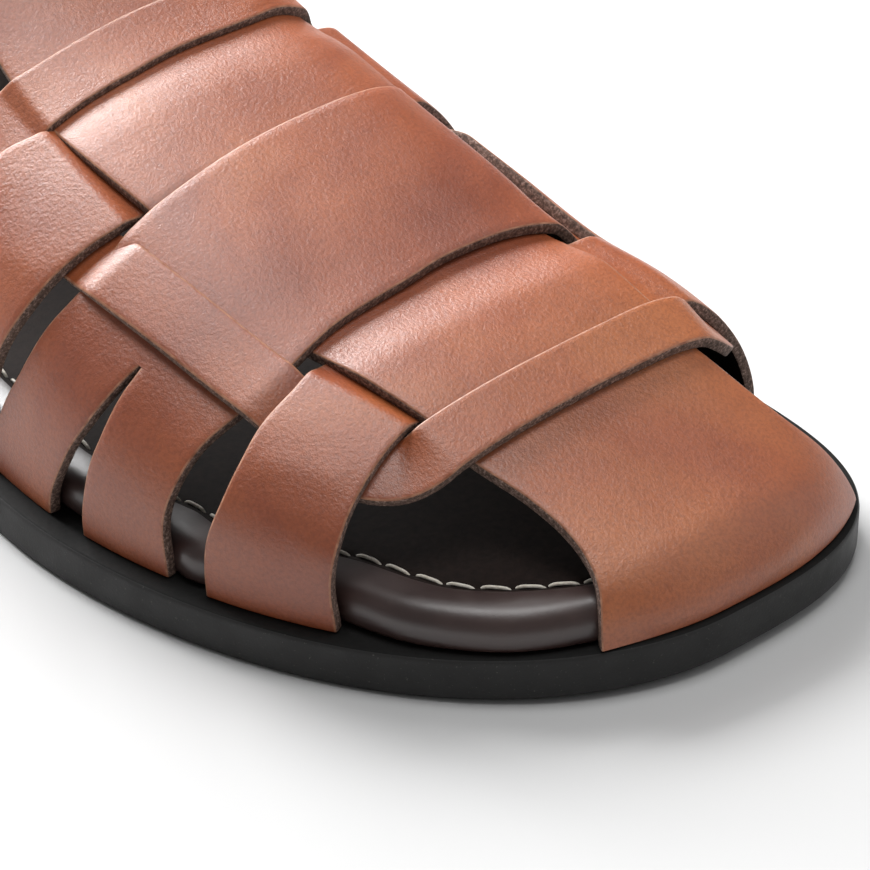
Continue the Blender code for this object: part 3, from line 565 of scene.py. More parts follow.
class Graph:
    """A small helper that builds a material's nodes."""

    def __init__(self, name):
        self.made = bpy.data.materials.new(name)
        self.made.use_nodes = True
        self.tree = self.made.node_tree
        self.place = self.node("ShaderNodeTexCoord").outputs["Object"]

    def node(self, kind, **values):
        made = self.tree.nodes.new(kind)
        for key, value in values.items():
            setattr(made, key, value)
        return made

    def feed(self, socket, value):
        """Links a value that comes from a node, and sets any other."""
        if hasattr(value, "links"):
            self.tree.links.new(value, socket)
        else:
            socket.default_value = (*value, 1.0) if isinstance(value, tuple) else value

    def shade(self, **values):
        """Feeds the shader's inputs, with _ for each space in a name, and gives the material."""
        shader = self.tree.nodes["Principled BSDF"]
        for key, value in values.items():
            self.feed(shader.inputs[key.replace("_", " ")], value)
        return self.made

    def noise(self, scale, detail, rough, distortion=0.0, vector=None):
        made = self.node("ShaderNodeTexNoise")
        keys = ("Scale", "Detail", "Roughness", "Distortion", "Vector")
        vector = self.place if vector is None else vector
        for key, value in zip(keys, (scale, detail, rough, distortion, vector)):
            self.feed(made.inputs[key], value)
        return made.outputs["Fac"]

    def ramp(self, value, stops):
        made = self.node("ShaderNodeValToRGB")
        band = made.color_ramp
        while len(band.elements) < len(stops):
            band.elements.new(0.5)
        for element, (place, colour) in zip(band.elements, stops):
            element.position = place
            element.color = (*colour, 1.0)
        self.feed(made.inputs["Fac"], value)
        return made.outputs["Color"]

    def mix(self, kind, factor, a, b):
        made = self.node("ShaderNodeMix", data_type="RGBA", blend_type=kind)
        for place, value in ((0, factor), (6, a), (7, b)):
            self.feed(made.inputs[place], value)
        return made.outputs[2]

    def spread(self, value, low, high, to_low, to_high):
        made = self.node("ShaderNodeMapRange")
        for place, number in enumerate((value, low, high, to_low, to_high)):
            self.feed(made.inputs[place], number)
        return made.outputs[0]

    def bump(self, height, distance, strength, before=None):
        made = self.node("ShaderNodeBump")
        for key, value in (("Strength", strength), ("Distance", distance), ("Height", height)):
            self.feed(made.inputs[key], value)
        if before is not None:
            self.feed(made.inputs["Normal"], before)
        return made.outputs["Normal"]

    def mapped(self, offset=(0, 0, 0), factors=(1, 1, 1)):
        made = self.node("ShaderNodeMapping")
        made.inputs["Location"].default_value = offset
        made.inputs["Scale"].default_value = factors
        self.feed(made.inputs["Vector"], self.place)
        return made.outputs["Vector"]


def srgb(*levels):
    """The linear values of a colour given as 0 to 255."""
    shares = [level / 255 for level in levels]
    return tuple(((s + 0.055) / 1.055) ** 2.4 if s > 0.04 else s / 12.92 for s in shares)


def tints(*stops):
    return [(place, srgb(*colour)) for place, colour in stops]


BURNISH_OFFSET = (0.51, 0.89, 1.01)  # which stretch of the noise the burnished patches come from
BRUSHED = (400.0, 2600.0, 400.0)


def tan_leather():
    g = Graph("burnished_tan_leather")
    patches = g.noise(18.0, 4.0, 0.55, 0.6, g.mapped(BURNISH_OFFSET))
    cloud = g.noise(75.0, 6.0, 0.65)
    pores = g.noise(1700.0, 4.0, 0.65)
    tans = tints(
        (0.3, (130, 60, 35)), (0.45, (155, 77, 43)), (0.57, (170, 89, 47)), (0.72, (186, 108, 60))
    )
    dusk = g.ramp(cloud, ((0.32, (0.66, 0.58, 0.56)), (0.66, (1, 1, 1))))
    specks = g.ramp(pores, ((0.34, (0.5, 0.44, 0.4)), (0.58, (1, 1, 1))))
    base = g.mix("MULTIPLY", 0.35, g.ramp(patches, tans), dusk)
    swells = g.bump(g.noise(140.0, 3.0, 0.5), 0.0003, 0.4)
    return g.shade(
        Base_Color=g.mix("MULTIPLY", 0.5, base, specks),
        Roughness=g.spread(cloud, 0.3, 0.7, 0.36, 0.44),
        Specular_IOR_Level=1.0,
        Normal=g.bump(g.noise(1500.0, 4.0, 0.7), 0.00022, 0.6, swells),
    )


def dark_leather():
    g = Graph("dark_footbed_leather")
    cloud = g.noise(70.0, 4.0, 0.6)
    return g.shade(
        Base_Color=g.ramp(cloud, tints((0.3, (44, 28, 26)), (0.7, (62, 43, 39)))),
        Roughness=g.spread(cloud, 0.3, 0.7, 0.3, 0.42),
        Specular_IOR_Level=0.9,
        Normal=g.bump(g.noise(1100.0, 4.0, 0.6), 0.00008, 0.35),
    )


def rubber():
    g = Graph("black_sole_rubber")
    specks = g.noise(2300.0, 2.0, 0.6)
    return g.shade(
        Base_Color=g.ramp(specks, tints((0.66, (25, 24, 23)), (0.76, (74, 72, 68)))),
        Roughness=g.spread(g.noise(120.0, 4.0, 0.6), 0.3, 0.7, 0.5, 0.66),
        Normal=g.bump(specks, 0.0002, 0.25),
    )


def brass():
    g = Graph("brushed_brass")
    hair = g.noise(1.0, 3.0, 0.6, 0.0, g.mapped(factors=BRUSHED))
    return g.shade(
        Base_Color=g.ramp(hair, ((0.3, (0.5, 0.37, 0.17)), (0.7, (0.62, 0.48, 0.25)))),
        Metallic=1.0,
        Roughness=g.spread(hair, 0.3, 0.7, 0.26, 0.4),
    )


def floor_white():
    g = Graph("studio_floor")
    haze = g.ramp(g.noise(2.0, 2.0, 0.5), ((0.0, (0.61,) * 3), (1.0, (0.625,) * 3)))
    return g.shade(Base_Color=haze, Roughness=0.9)


def grained(name, noise, colours, roughness, specular=0.5, relief=None):
    """A finish from one noise, with its settings, colours, and its relief's depth and strength."""
    g = Graph(name)
    grain = g.noise(*noise)
    if relief is not None:
        g.shade(Normal=g.bump(grain, *relief))
    colour = g.ramp(grain, tints(*colours))
    return g.shade(Base_Color=colour, Roughness=roughness, Specular_IOR_Level=specular)


TAN = tan_leather()
RAW = grained(
    "cut_leather_edge",
    (1900.0, 4.0, 0.75),
    ((0.36, (64, 49, 43)), (0.52, (112, 88, 76)), (0.7, (186, 158, 146))),
    0.8,
    relief=(0.0003, 0.6),
)
# the straps' undersides: a dark lining made near-black as painted shade where it shows in the gaps
# under the straps
SHADED_LINING = grained(
    "lining_painted_shade",
    (900.0, 4.0, 0.7),
    ((0.3, (20, 13, 11)), (0.7, (31, 23, 20))),
    0.85,
    0.08,
    (0.0003, 0.5),
)
# a paler, pinker tan for each strap's rounded upper corner: a painted highlight along the edge
HIGHLIGHT_TAN = grained(
    "leather_corner_painted_highlight", (700.0, 3.0, 0.6), ((0.3, (138, 82, 56)), (0.7, (184, 132, 104))), 0.45
)
DARK = dark_leather()
# the footbed's top inside the stitching: its own dark brown darkened further, painted shade under
# the straps
SHADED_SOCK = grained(
    "matt_sock_painted_shade",
    (800.0, 4.0, 0.6),
    ((0.3, (24, 16, 13)), (0.7, (36, 25, 21))),
    0.75,
    0.12,
    (0.0002, 0.5),
)
RUBBER = rubber()
# the outsole's top, the same rubber made near-black: painted shade of the shelf under the
# footbed's edge
SHELF_SHADE = grained(
    "sole_top_painted_shade",
    (900.0, 3.0, 0.6),
    ((0.3, (9, 9, 8)), (0.7, (17, 16, 15))),
    0.7,
    0.2,
    (0.0002, 0.4),
)
THREAD = grained(
    "cream_thread",
    (1600.0, 2.0, 0.5),
    ((0.3, (214, 204, 188)), (0.7, (246, 240, 228))),
    0.7,
    relief=(0.0002, 0.5),
)
BRASS = brass()
# the fourth, the corner's paler tan, is a painted highlight
LEATHERS = (TAN, RAW, SHADED_LINING, HIGHLIGHT_TAN)

# ---------------------------------------------------------------- the upper's straps


def keep(item, node):
    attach(item, "root")
    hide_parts(node)


def keep_strap(name, at, level, u, **more):
    keep(strap(name, at, level, u, **more), "upper")


CREASE_FADE = 0.12  # a crease ends over this share of the strap's width
RING_SPREAD = 0.9  # below 1, a cross strap's rings lie closer together towards its feet


def pulled_in(v):
    return -FOOT_PULL + 0 * v


def crease_field(creases):
    """Shallow hollows and swells of a strap, each a soft line across part of its width."""

    def relief(u, v):
        height = 0 * u
        for along, lean, wide, share_from, share_to, tall in creases:
            near = np.exp(-(((u - along - lean * (v - 0.5)) / wide) ** 2))
            inside = ease((v - share_from) / CREASE_FADE) * ease((share_to - v) / CREASE_FADE)
            height = height + tall * near * inside
        return height

    return relief


def cross(name, table, start=-1.0, end=1.0, low=None, high=None, count=260, across=24, creases=()):
    """A cross strap between two places over the foot, or the leg of it between two lines."""

    def at(where, share):
        front, back = column(table, where, 1, held=True), column(table, where, 2, held=True)
        first = 0.0 if low is None else low(where)
        last = 1.0 if high is None else high(where)
        return last_at(back + (front - back) * (first + (last - first) * share), where)

    def level(where, share):
        return column(table, where, 3, held=True)

    turn = np.sign([start, end]) * np.abs([start, end]) ** (1 / RING_SPREAD)
    turn = np.linspace(turn[0], turn[1], count)
    where = np.sign(turn) * np.abs(turn) ** RING_SPREAD
    relief = crease_field(creases)
    keep_strap(name, at, level, where, count=across, foot=pulled_in, relief=relief)


def slit_back(where):
    return column(SLIT, np.abs(where), 1)


def slit_front(where):
    return column(SLIT, np.abs(where), 2)


# Creases: place along the strap, lean, width, the part of the strap's width, height.
FRONT_CREASES = ((-0.6, 0.08, 0.05, 0.1, 0.9, 0.12), (-0.8, -0.04, 0.04, 0.0, 0.7, -0.1))
WIDE_CREASES = (
    (-0.45, 0.1, 0.05, 0.1, 0.8, 0.14),
    (-0.12, -0.15, 0.07, 0.2, 0.9, -0.12),
    (0.15, 0.12, 0.06, 0.0, 0.8, 0.12),
    (0.45, -0.1, 0.05, 0.2, 1.0, -0.12),
)
THIRD_CREASES = (
    (-0.6, 0.06, 0.04, 0.1, 1.0, 0.12),
    (-0.1, 0.1, 0.06, 0.0, 0.8, -0.1),
    (0.4, -0.08, 0.05, 0.2, 1.0, 0.12),
)
INSTEP_CREASES = (
    (-0.5, 0.08, 0.05, 0.1, 0.9, -0.12),
    (0.1, -0.1, 0.05, 0.1, 0.9, 0.12),
    (0.5, 0.1, 0.05, 0.0, 0.9, -0.1),
)

cross("front_strap", FRONT_STRAP, creases=FRONT_CREASES)
cross("third_strap", THIRD_STRAP, creases=THIRD_CREASES)
cross("instep_strap", INSTEP_STRAP, creases=INSTEP_CREASES)
SLIT_END = SLIT[0][0]
cross("wide_strap", WIDE_STRAP, -SLIT_END, SLIT_END, count=160, creases=WIDE_CREASES)
for side, side_name in ((OUTER, "outer"), (INNER, "inner")):
    ends = sorted((side * SLIT_END, side * 1.0))
    for leg, limit in (("_heel_leg", {"high": slit_back}), ("_toe_leg", {"low": slit_front})):
        leg_name = "wide_strap_" + side_name + leg
        cross(leg_name, WIDE_STRAP, *ends, count=70, across=16, **limit)


def centre_y(x, part):
    outer, inner = column(CENTRE_STRAP, x, 1), column(CENTRE_STRAP, x, 2)
    return outer + part * (inner - outer)


def centre_front(part):
    """Where this line of the centre strap, 0 outer edge to 1 inner edge, meets the sole."""
    reach = np.linspace(LAST_TOE - TOE_REACH, LAST_TOE, 1500)
    y = centre_y(reach, part)
    inside = (y >= LAST_EDGE(reach, OUTER)) & (y <= LAST_EDGE(reach, INNER))
    return reach[inside].max()


TOE_REACH = 25.0  # the centre strap's foot lies within this length of the last's toe
FOOT_SINK = 0.05  # length over which its foot drops onto the sole
TOE_CORNERS = {OUTER: 1.3, INNER: 0.8}  # how far the foot's corners stand out
PARTS = np.linspace(0, 1, 41)
FRONTS = np.array([centre_front(part) for part in PARTS])


def centre_x(depth, v):
    front = np.interp(v, PARTS, FRONTS)
    return front + (CENTRE_STRAP_END - front) * depth


def centre_at(depth, v):
    x = centre_x(depth, v)
    points = last_over(x, centre_y(x, v))
    sole = outsole_top(x) + GAP
    ahead = np.clip((np.interp(v, PARTS, FRONTS) - x) / FOOT_SINK, 0, 1)
    points[..., 2] = sole + (points[..., 2] - sole) * ahead
    return points


def centre_level(depth, v):
    return column(CENTRE_LEVELS, centre_x(depth, v), 1, held=True)


def toe_foot(v):
    """The centre strap's foot stands out at its two corners, where it springs from the sole."""
    outer = TOE_CORNERS[OUTER] * np.clip(1 - v / 0.3, 0, 1) ** 2
    return -FOOT_PULL + outer + TOE_CORNERS[INNER] * np.clip(4 * v - 3, 0, 1) ** 2


depths = np.linspace(0, 1, 360) ** 1.8
keep_strap("centre_strap", centre_at, centre_level, depths, count=40, foot=toe_foot)


def u_path():
    corner_y = U_STRAP_OFFSET - U_STRAP_CORNER
    legs = np.linspace(U_STRAP_END, U_STRAP_X - U_STRAP_CORNER, 60)[:-1]
    turn = np.linspace(0, math.pi / 2, 40)
    arc_x = U_STRAP_X - U_STRAP_CORNER + U_STRAP_CORNER * np.sin(turn)
    arc_y = corner_y + U_STRAP_CORNER * np.cos(turn)
    half_x = np.concatenate([legs, arc_x, np.full(40, U_STRAP_X)])
    half_y = np.concatenate([0 * legs + U_STRAP_OFFSET, arc_y, np.linspace(corner_y, 0, 41)[1:]])
    x = np.concatenate([half_x, half_x[::-1][1:]])
    offset = np.concatenate([half_y, -half_y[::-1][1:]])
    return x - U_STRAP_SKEW * offset, strap_y(x) + offset


def u_frame():
    """The U-shaped strap's middle line: distance, x and y along it, and its sideways direction."""
    x, y = u_path()
    run = run_along(last_over(x, y))
    even = np.linspace(0, run[-1], 400)
    x, y = np.interp(even, run, x), np.interp(even, run, y)
    along = unit(np.gradient(last_over(x, y), axis=0))
    step = 0.05
    slope_x = (last_over(x + step, y) - last_over(x - step, y)) / (2 * step)
    slope_y = (last_over(x, y + step) - last_over(x, y - step)) / (2 * step)
    return even, x, y, np.cross(unit(np.cross(slope_x, slope_y)), along)


U_RUN, U_X, U_Y, U_SIDE = u_frame()


def u_at(run, v):
    width = column(U_STRAP, np.abs(run - U_RUN[-1] / 2), 1, held=True)
    share = (v - 0.5) * width
    x = np.interp(run, U_RUN, U_X) + np.interp(run, U_RUN, U_SIDE[:, 0]) * share
    y = np.interp(run, U_RUN, U_Y) + np.interp(run, U_RUN, U_SIDE[:, 1]) * share
    return last_over(x, y)


U_FACES_TOE = U_SIDE[len(U_SIDE) // 2, 0] > 0  # whether v grows towards the toe


def u_level(run, v):
    distance = np.abs(run - U_RUN[-1] / 2)
    back = column(U_STRAP, distance, 2, held=True)
    front = column(U_STRAP, distance, 3, held=True)
    return back + (front - back) * (v if U_FACES_TOE else 1 - v)


keep_strap("u_strap", u_at, u_level, np.linspace(0, U_RUN[-1], 320), count=14)


BESIDE = 60


def heel_line():
    """The sole's outline round the heel, inner end first, with its outward directions.

    Its ends are the nearest to points beside the foot where the counter starts.
    """
    loop = outline()
    first, last = (
        int(np.argmin(np.hypot(loop[:, 0] - COUNTER_FRONT_X, loop[:, 1] - side * BESIDE)))
        for side in (INNER, OUTER)
    )
    line = loop[first : last + 1]
    along = unit(np.gradient(line, axis=0))
    return line, np.stack([along[:, 1], -along[:, 0]], 1)


HEEL_LINE, HEEL_OUT = heel_line()


def counter_wall(share, height):
    """A point on the counter's inside: share runs -1..1 round the heel, height above the sole."""
    spot = (share + 1) / 2 * (len(HEEL_LINE) - 1)
    index = np.arange(len(HEEL_LINE))
    at, out = read_line(spot, index, HEEL_LINE), read_line(spot, index, HEEL_OUT)
    part = height / (COUNTER_TOP + COUNTER_RISE)
    inset = LAST_INSET + COUNTER_LEAN * part**2
    inset = inset - COUNTER_BULGE * np.sin(math.pi * np.clip(part, 0, 1))
    x, y = at[..., 0] - out[..., 0] * inset, at[..., 1] - out[..., 1] * inset
    return np.stack([x, y, outsole_top(x) + GAP + height], -1)


def counter_at(turn, rise):
    height = rise * (COUNTER_TOP + COUNTER_RISE * np.cos(turn * math.pi / 2))
    return counter_wall(turn * (1 - COUNTER_SLANT / COUNTER_PATH * rise), height)


COUNTER_CREASES = (
    (-0.62, 0.12, 0.05, 0.25, 1.0, -0.2),
    (-0.3, -0.1, 0.06, 0.0, 0.6, 0.15),
    (0.28, 0.1, 0.05, 0.3, 1.0, -0.15),
    (0.66, -0.1, 0.06, 0.2, 0.9, 0.18),
)
keep_strap(
    "heel_counter",
    counter_at,
    lambda u, v: 0 * u,
    np.linspace(-1, 1, 220),
    count=44,
    foot=pulled_in,
    relief=crease_field(COUNTER_CREASES),
)

# ---------------------------------------------------------------- the ankle strap and its buckle


def counter_y(x, z, side):
    """The y of the counter's inside on one side of the heel, at station x and height z."""
    share = -side * np.linspace(1.0, 0.35, 60)
    points = counter_wall(share, z - outsole_top(x) - GAP)
    order = np.argsort(points[:, 0])
    return float(np.interp(x, points[order, 0], points[order, 1]))


def counter_facing(x, z, side, step=0.5):
    along = (counter_y(x + step, z, side) - counter_y(x - step, z, side)) / (2 * step)
    up = (counter_y(x, z + step, side) - counter_y(x, z - step, side)) / (2 * step)
    return unit(side * np.array([-along, 1.0, -up]))


def ankle_line(count=160):
    """The ankle strap's middle line: distance along it, its points, normals and sideways
    directions, inner end first.
    """
    side_x, side_z = ANKLE_SIDE
    side_point = np.array([side_x, 0.0, side_z])
    crown = last_at(np.array(ANKLE_CROWN_X), np.array(0.0))
    half = {side: abs(counter_y(side_x, side_z, side)) for side in (INNER, OUTER)}
    down = unit(np.array([side_x - crown[0], side_z - crown[2]]))
    points, facings = [], []
    instep = np.array([math.sin(INSTEP_SLOPE), 0, math.cos(INSTEP_SLOPE)])
    for turn in np.linspace(-math.pi / 2, math.pi / 2, count):
        side = INNER if turn < 0 else OUTER
        lift, out = max(math.cos(turn), 0), abs(math.sin(turn))
        point = side_point + (crown - side_point) * lift
        point[1] += side * half[side] * out**ANKLE_SQUARE
        points.append(point)
        facings.append(instep * lift + counter_facing(side_x, side_z, side) * out)
    for side in (INNER, OUTER):
        lap_points, lap_facings = [], []
        for run in np.linspace(0, ANKLE_LAPS[side], 24)[1:]:
            x, z = side_x + down[0] * run, side_z + down[1] * run
            lap_points.append((x, counter_y(x, z, side), z))
            lap_facings.append(counter_facing(x, z, side))
        if side == INNER:
            points, facings = lap_points[::-1] + points, lap_facings[::-1] + facings
        else:
            points, facings = points + lap_points, facings + lap_facings
    line, facing = np.array(points), np.array(facings)
    run = run_along(line)
    even = np.linspace(0, run[-1], count)
    line, facing = read_line(even, run, line), read_line(even, run, facing)
    tangent = unit(np.gradient(line, axis=0))
    facing = unit(facing - tangent * np.sum(facing * tangent, 1)[:, None])
    return even, line, facing, np.cross(facing, tangent)


ANKLE_RUN, ANKLE_POINTS, ANKLE_FACING, ANKLE_ACROSS = ankle_line()
HINGE_RUN = float(ANKLE_RUN[-1]) - BUCKLE_TAIL


def on_ankle(run, across, off):
    """A point off the ankle strap's line: distance along it, across it and outwards from it."""
    point, facing, sideways = (
        read_line(run, ANKLE_RUN, values) for values in (ANKLE_POINTS, ANKLE_FACING, ANKLE_ACROSS)
    )
    across, off = np.asarray(across, float)[..., None], np.asarray(off, float)[..., None]
    return point + sideways * across + facing * off


TIP_LENGTH, TIP_WIDTH, TIP_POWER = 8.0, 4.0, 2.4  # the rounded end of the ankle strap's tail
CLIMB_RUN = 9.0  # length over which the tail climbs to the buckle and sinks behind it
CLIMB_FROM, SINK_TO = 2.0, 12.0  # from the buckle's front bar, and past its hinge bar
ANKLE_CREASES = ((70.0, 3.0, 3.0, 0.0, 1.0, 0.15), (96.0, -3.0, 3.5, 0.0, 1.0, -0.12))


def ankle_at(run, share):
    left = np.clip((ANKLE_RUN[-1] - run) / TIP_LENGTH, 0, 1)
    wide = ANKLE_WIDTH * np.clip(1 - (1 - left) ** TIP_POWER, 0, 1) ** (1 / TIP_POWER)
    return on_ankle(run, (share - 0.5) * np.maximum(wide, TIP_WIDTH), 0 * run)


def ankle_level(run, share):
    climb = ease((run - (HINGE_RUN - BUCKLE_LENGTH + CLIMB_FROM)) / CLIMB_RUN)
    sink = ease((HINGE_RUN + SINK_TO - run) / CLIMB_RUN)
    return OVER + (TAIL_LEVEL - OVER) * climb * sink


keep_strap(
    "ankle_strap",
    ankle_at,
    ankle_level,
    np.linspace(0, ANKLE_RUN[-1], 300),
    count=16,
    relief=crease_field(ANKLE_CREASES),
)


def tube(points, radius, closed=False, sides=12):
    """Points and faces of a round wire; radius is one number or one for each point."""
    if closed:
        tangent = unit(np.roll(points, -1, 0) - np.roll(points, 1, 0))
    else:
        tangent = unit(np.gradient(points, axis=0))
    normal = [unit(np.cross(tangent[0], (0.31, 0.17, 0.93)))]  # any direction but the wire's
    for here in tangent[1:]:
        normal.append(unit(normal[-1] - here * np.dot(normal[-1], here)))
    normal = np.array(normal)
    other = np.cross(tangent, normal)
    turn = np.linspace(0, 2 * math.pi, sides, endpoint=False)[None, :, None]
    radius = np.broadcast_to(np.asarray(radius, float), (len(points),))[:, None, None]
    rings = normal[:, None] * np.cos(turn) + other[:, None] * np.sin(turn)
    rings = points[:, None] + radius * rings
    faces = loft(rings, cap=not closed)
    if closed:
        start = (len(points) - 1) * sides
        for j in range(sides):
            k = (j + 1) % sides
            faces.append((start + j, start + k, k, j))
    return rings.reshape(-1, 3), faces


FRONT_RISE = 1.7  # the frame's front bar lies this much further out than its hinge bar
FRONT_BAR = FRONT_RISE + LEATHER + GAP + BUCKLE_WIRE / 2
HINGE_BAR = LEATHER + GAP + BUCKLE_WIRE / 2


def buckle_frame():
    half_long, half_wide = BUCKLE_LENGTH / 2, (BUCKLE_INSIDE + BUCKLE_WIRE) / 2
    points = []
    for turn in np.linspace(0, 2 * math.pi, 160, endpoint=False):
        reach = max(abs(math.cos(turn)), abs(math.sin(turn)))
        along, across = math.cos(turn) / reach * half_long, math.sin(turn) / reach * half_wide
        over = np.array([abs(along) - half_long, abs(across) - half_wide]) + BUCKLE_CORNER
        if over.min() > 0:
            over = BUCKLE_CORNER * unit(over)
            along = math.copysign(half_long - BUCKLE_CORNER + over[0], along)
            across = math.copysign(half_wide - BUCKLE_CORNER + over[1], across)
        off = FRONT_BAR + (HINGE_BAR - FRONT_BAR) * (along + half_long) / BUCKLE_LENGTH
        points.append(on_ankle(HINGE_RUN - half_long + along, across, off))
    wire = tube(np.array(points), BUCKLE_WIRE / 2, closed=True)
    return add_mesh("buckle_wire", *wire, [BRASS])


def buckle_prong():
    low = HINGE_BAR + BUCKLE_WIRE / 2 + GAP
    lying = TAIL_LEVEL + LEATHER + GAP + PRONG_WIRE / 2
    rest = FRONT_BAR + BUCKLE_WIRE / 2 + GAP + PRONG_WIRE / 2
    ahead = np.array([0.0, 0.0, 0.4, 1.4, 6.0, BUCKLE_LENGTH, BUCKLE_LENGTH + 1.8])
    off = np.array([low, lying - 1.3, lying - 0.5, lying, lying, rest, rest - 0.1])
    run = run_along(np.stack([ahead, off], 1))
    fine = np.linspace(0, run[-1], 60)
    ahead, off = np.interp(fine, run, ahead), np.interp(fine, run, off)
    for line in (ahead, off) * 4:
        line[1:-1] = (line[:-2] + 2 * line[1:-1] + line[2:]) / 4
    points = on_ankle(HINGE_RUN - ahead, 0 * ahead, off)
    radius = PRONG_WIRE / 2 * np.clip((run[-1] - fine) / 1.2 + 0.45, 0, 1)
    return add_mesh("prong_wire", *tube(points, radius), [BRASS])


def keeper_at(u, v):
    """The keeper's inside: up from the counter, over the strap's end and down, softly cornered."""
    half = ANKLE_WIDTH / 2 + GAP + 0.1
    top = OVER + LEATHER + GAP + 0.1
    low = LEATHER + GAP + 0.1
    rise = [low, top - 0.6, top - 0.15, top]
    inwards = [-half, -half, 0.15 - half, 0.6 - half]
    across = np.array(inwards + [0] + [-place for place in inwards[::-1]])
    off = np.array(rise + [top + 0.05] + rise[::-1])
    run = run_along(np.stack([across, off], 1))
    return on_ankle(
        HINGE_RUN + KEEPER_RUN + (v - 0.5) * KEEPER_WIDTH,
        np.interp(u * run[-1], run, across),
        np.interp(u * run[-1], run, off),
    )


keep(buckle_frame(), "buckle_frame")
keep(buckle_prong(), "buckle_prong")
rounds = np.linspace(0, 1, 90)
keeper = strap("keeper_loop", keeper_at, lambda u, v: 0 * u, rounds, KEEPER_THICK, 10)
keep(keeper, "strap_keeper")

HOLES_AHEAD = (-8.0, 7.6)  # from the hinge bar along the strap
HOLE_PROFILE = ((1.25, 0.03), (1.05, 0.035), (0.95, -0.2), (0.9, -1.0))  # radius, height


def punched_holes():
    """Holes in the ankle strap's end, each a small plug of cut-edge leather capped just over the
    surface: the cut edge's colour, with its disc as painted shade in place of the hole's depth.
    """
    turn = np.linspace(0, 2 * math.pi, 24, endpoint=False)
    points, faces = [], []
    for ahead in HOLES_AHEAD:
        rings = []
        for radius, off in HOLE_PROFILE:
            run = HINGE_RUN + ahead + radius * np.cos(turn)
            top = ankle_level(run, 0.5) + LEATHER + off
            rings.append(on_ankle(run, radius * np.sin(turn), top))
        rings = np.stack(rings)
        faces.extend(tuple(len(points) + i for i in face) for face in loft(rings, flip=True))
        points.extend(rings.reshape(-1, 3))
    return add_mesh("punched_holes", points, faces, [RAW])


# ---------------------------------------------------------------- the soles


def across_cap(rings, row, upside):
    """Faces that close one ring of a swept plate with strips from side to side."""
    m = rings.shape[1]
    first = int(np.argmax(rings[row][:, 0]))
    one = [row * m + (first + i) % m for i in range(m // 2 + 1)]
    other = [row * m + (first - i) % m for i in range(m // 2 + 1)]
    faces = []
    for i in range(m // 2):
        clean = list(dict.fromkeys((one[i], one[i + 1], other[i + 1], other[i])))
        if len(clean) >= 3:
            faces.append(tuple(clean if upside else clean[::-1]))
    return faces


def plate(name, rings, side_rows, materials):
    """A plate swept round an outline, with its first rows of faces in the first material."""
    rings = np.stack(rings)
    faces = loft(rings, cap=False, flip=True)
    faces += across_cap(rings, 0, False) + across_cap(rings, len(rings) - 1, True)
    indexes = [int(i >= side_rows * rings.shape[1]) for i in range(len(faces))]
    return add_mesh(name, rings.reshape(-1, 3), faces, materials, indexes)


SOLE_RING = 900  # points round a sole's ring
OUTSOLE_PROFILE = (
    # in from the outline, with the underside (0) or the top (1), height added to that
    (1.2, 0, 0.0),
    (0.5, 0, 0.15),
    (0.12, 0, 0.55),
    (0.0, 0, 1.1),
    (0.0, 1, -1.0),
    (0.08, 1, -0.5),
    (0.3, 1, -0.18),
    (0.7, 1, 0.0),
    (6.0, 1, 0.0),
)
# the rows after these, the outsole's top, take the near-black rubber of painted shade
OUTSOLE_SIDE_ROWS = 6


def outsole_ring(inset, share, offset):
    loop = outline(inset, count=SOLE_RING)
    z = sole_rise(loop[:, 0]) + share * OUTSOLE_THICK + offset
    return np.column_stack([loop, z])


outsole_rings = [outsole_ring(*row) for row in OUTSOLE_PROFILE]
outsole = plate("outsole_body", outsole_rings, OUTSOLE_SIDE_ROWS, [RUBBER, SHELF_SHADE])
keep(outsole, "outsole")

# from x, to x, length over which it fades, how far the padded edge swells out on the outer side
FOOTBED_BULGES = ((108.0, 149.5, 16.0, 2.7), (84.0, 99.0, 7.5, 1.8))
BULGE_REACH, BULGE_FADE = 13.0, 4.0  # a bulge moves the rings up to this far in


def footbed_ring(more, height, count=SOLE_RING):
    """The footbed's outline, further in by more, at a height over the outsole."""
    loop = outline(LAST_INSET + FOOTBED_GAP + more, TOE_SWELL, count)
    outwards = outline(LAST_INSET + FOOTBED_GAP + more - 1, TOE_SWELL, count) - loop
    free = np.zeros(count)
    for start, end, fade, amount in FOOTBED_BULGES:
        free += amount * ease((loop[:, 0] - start) / fade) * ease((end - loop[:, 0]) / fade)
    free *= (loop[:, 1] < 0) * np.clip((BULGE_REACH - more) / BULGE_FADE, 0, 1)
    loop = loop + outwards * free[:, None]
    x = loop[:, 0]
    middle = last_section(x)[0]
    across, up = powers(loop[:, 1] < middle)
    lean = (1 - np.clip(height / column(CROWN, x, 1), 0, 0.9) ** up) ** (1 / across)
    y = middle + (loop[:, 1] - middle) * lean
    return np.column_stack([x, y, outsole_top(x) + GAP + height])


FOOTBED_PROFILE = (
    # further in, height
    (0.7, 0.0),
    (0.3, 0.3),
    (0.08, 0.9),
    (0.0, 1.8),
    (0.0, 3.0),
    (0.2, 4.2),
    (0.65, 5.2),
    (1.4, 5.95),
    (2.3, 6.35),
    (3.4, FOOTBED_THICK),
    (5.4, FOOTBED_THICK),
    (6.3, 6.44),
    (7.0, 6.3),
    (7.5, 6.1),
    (8.0, 6.3),
    (8.8, 6.42),
    (13.0, 6.4),
)
# rows past these, the top inside the groove, take the darker sock of painted shade
GLOSSY_ROWS = 11  # of the footbed's profile, up to the groove
STITCH_HEIGHT = 6.2
STITCH_POINTS = 11
STITCH_PART = 0.95  # length of a stitch as a share of the pitch
STITCH_END, STITCH_ARCH = -0.45, 0.75  # where its ends lie in the groove, and its rise over them
STITCH_SLANT = 0.5
THREAD_WIDTH = 0.54


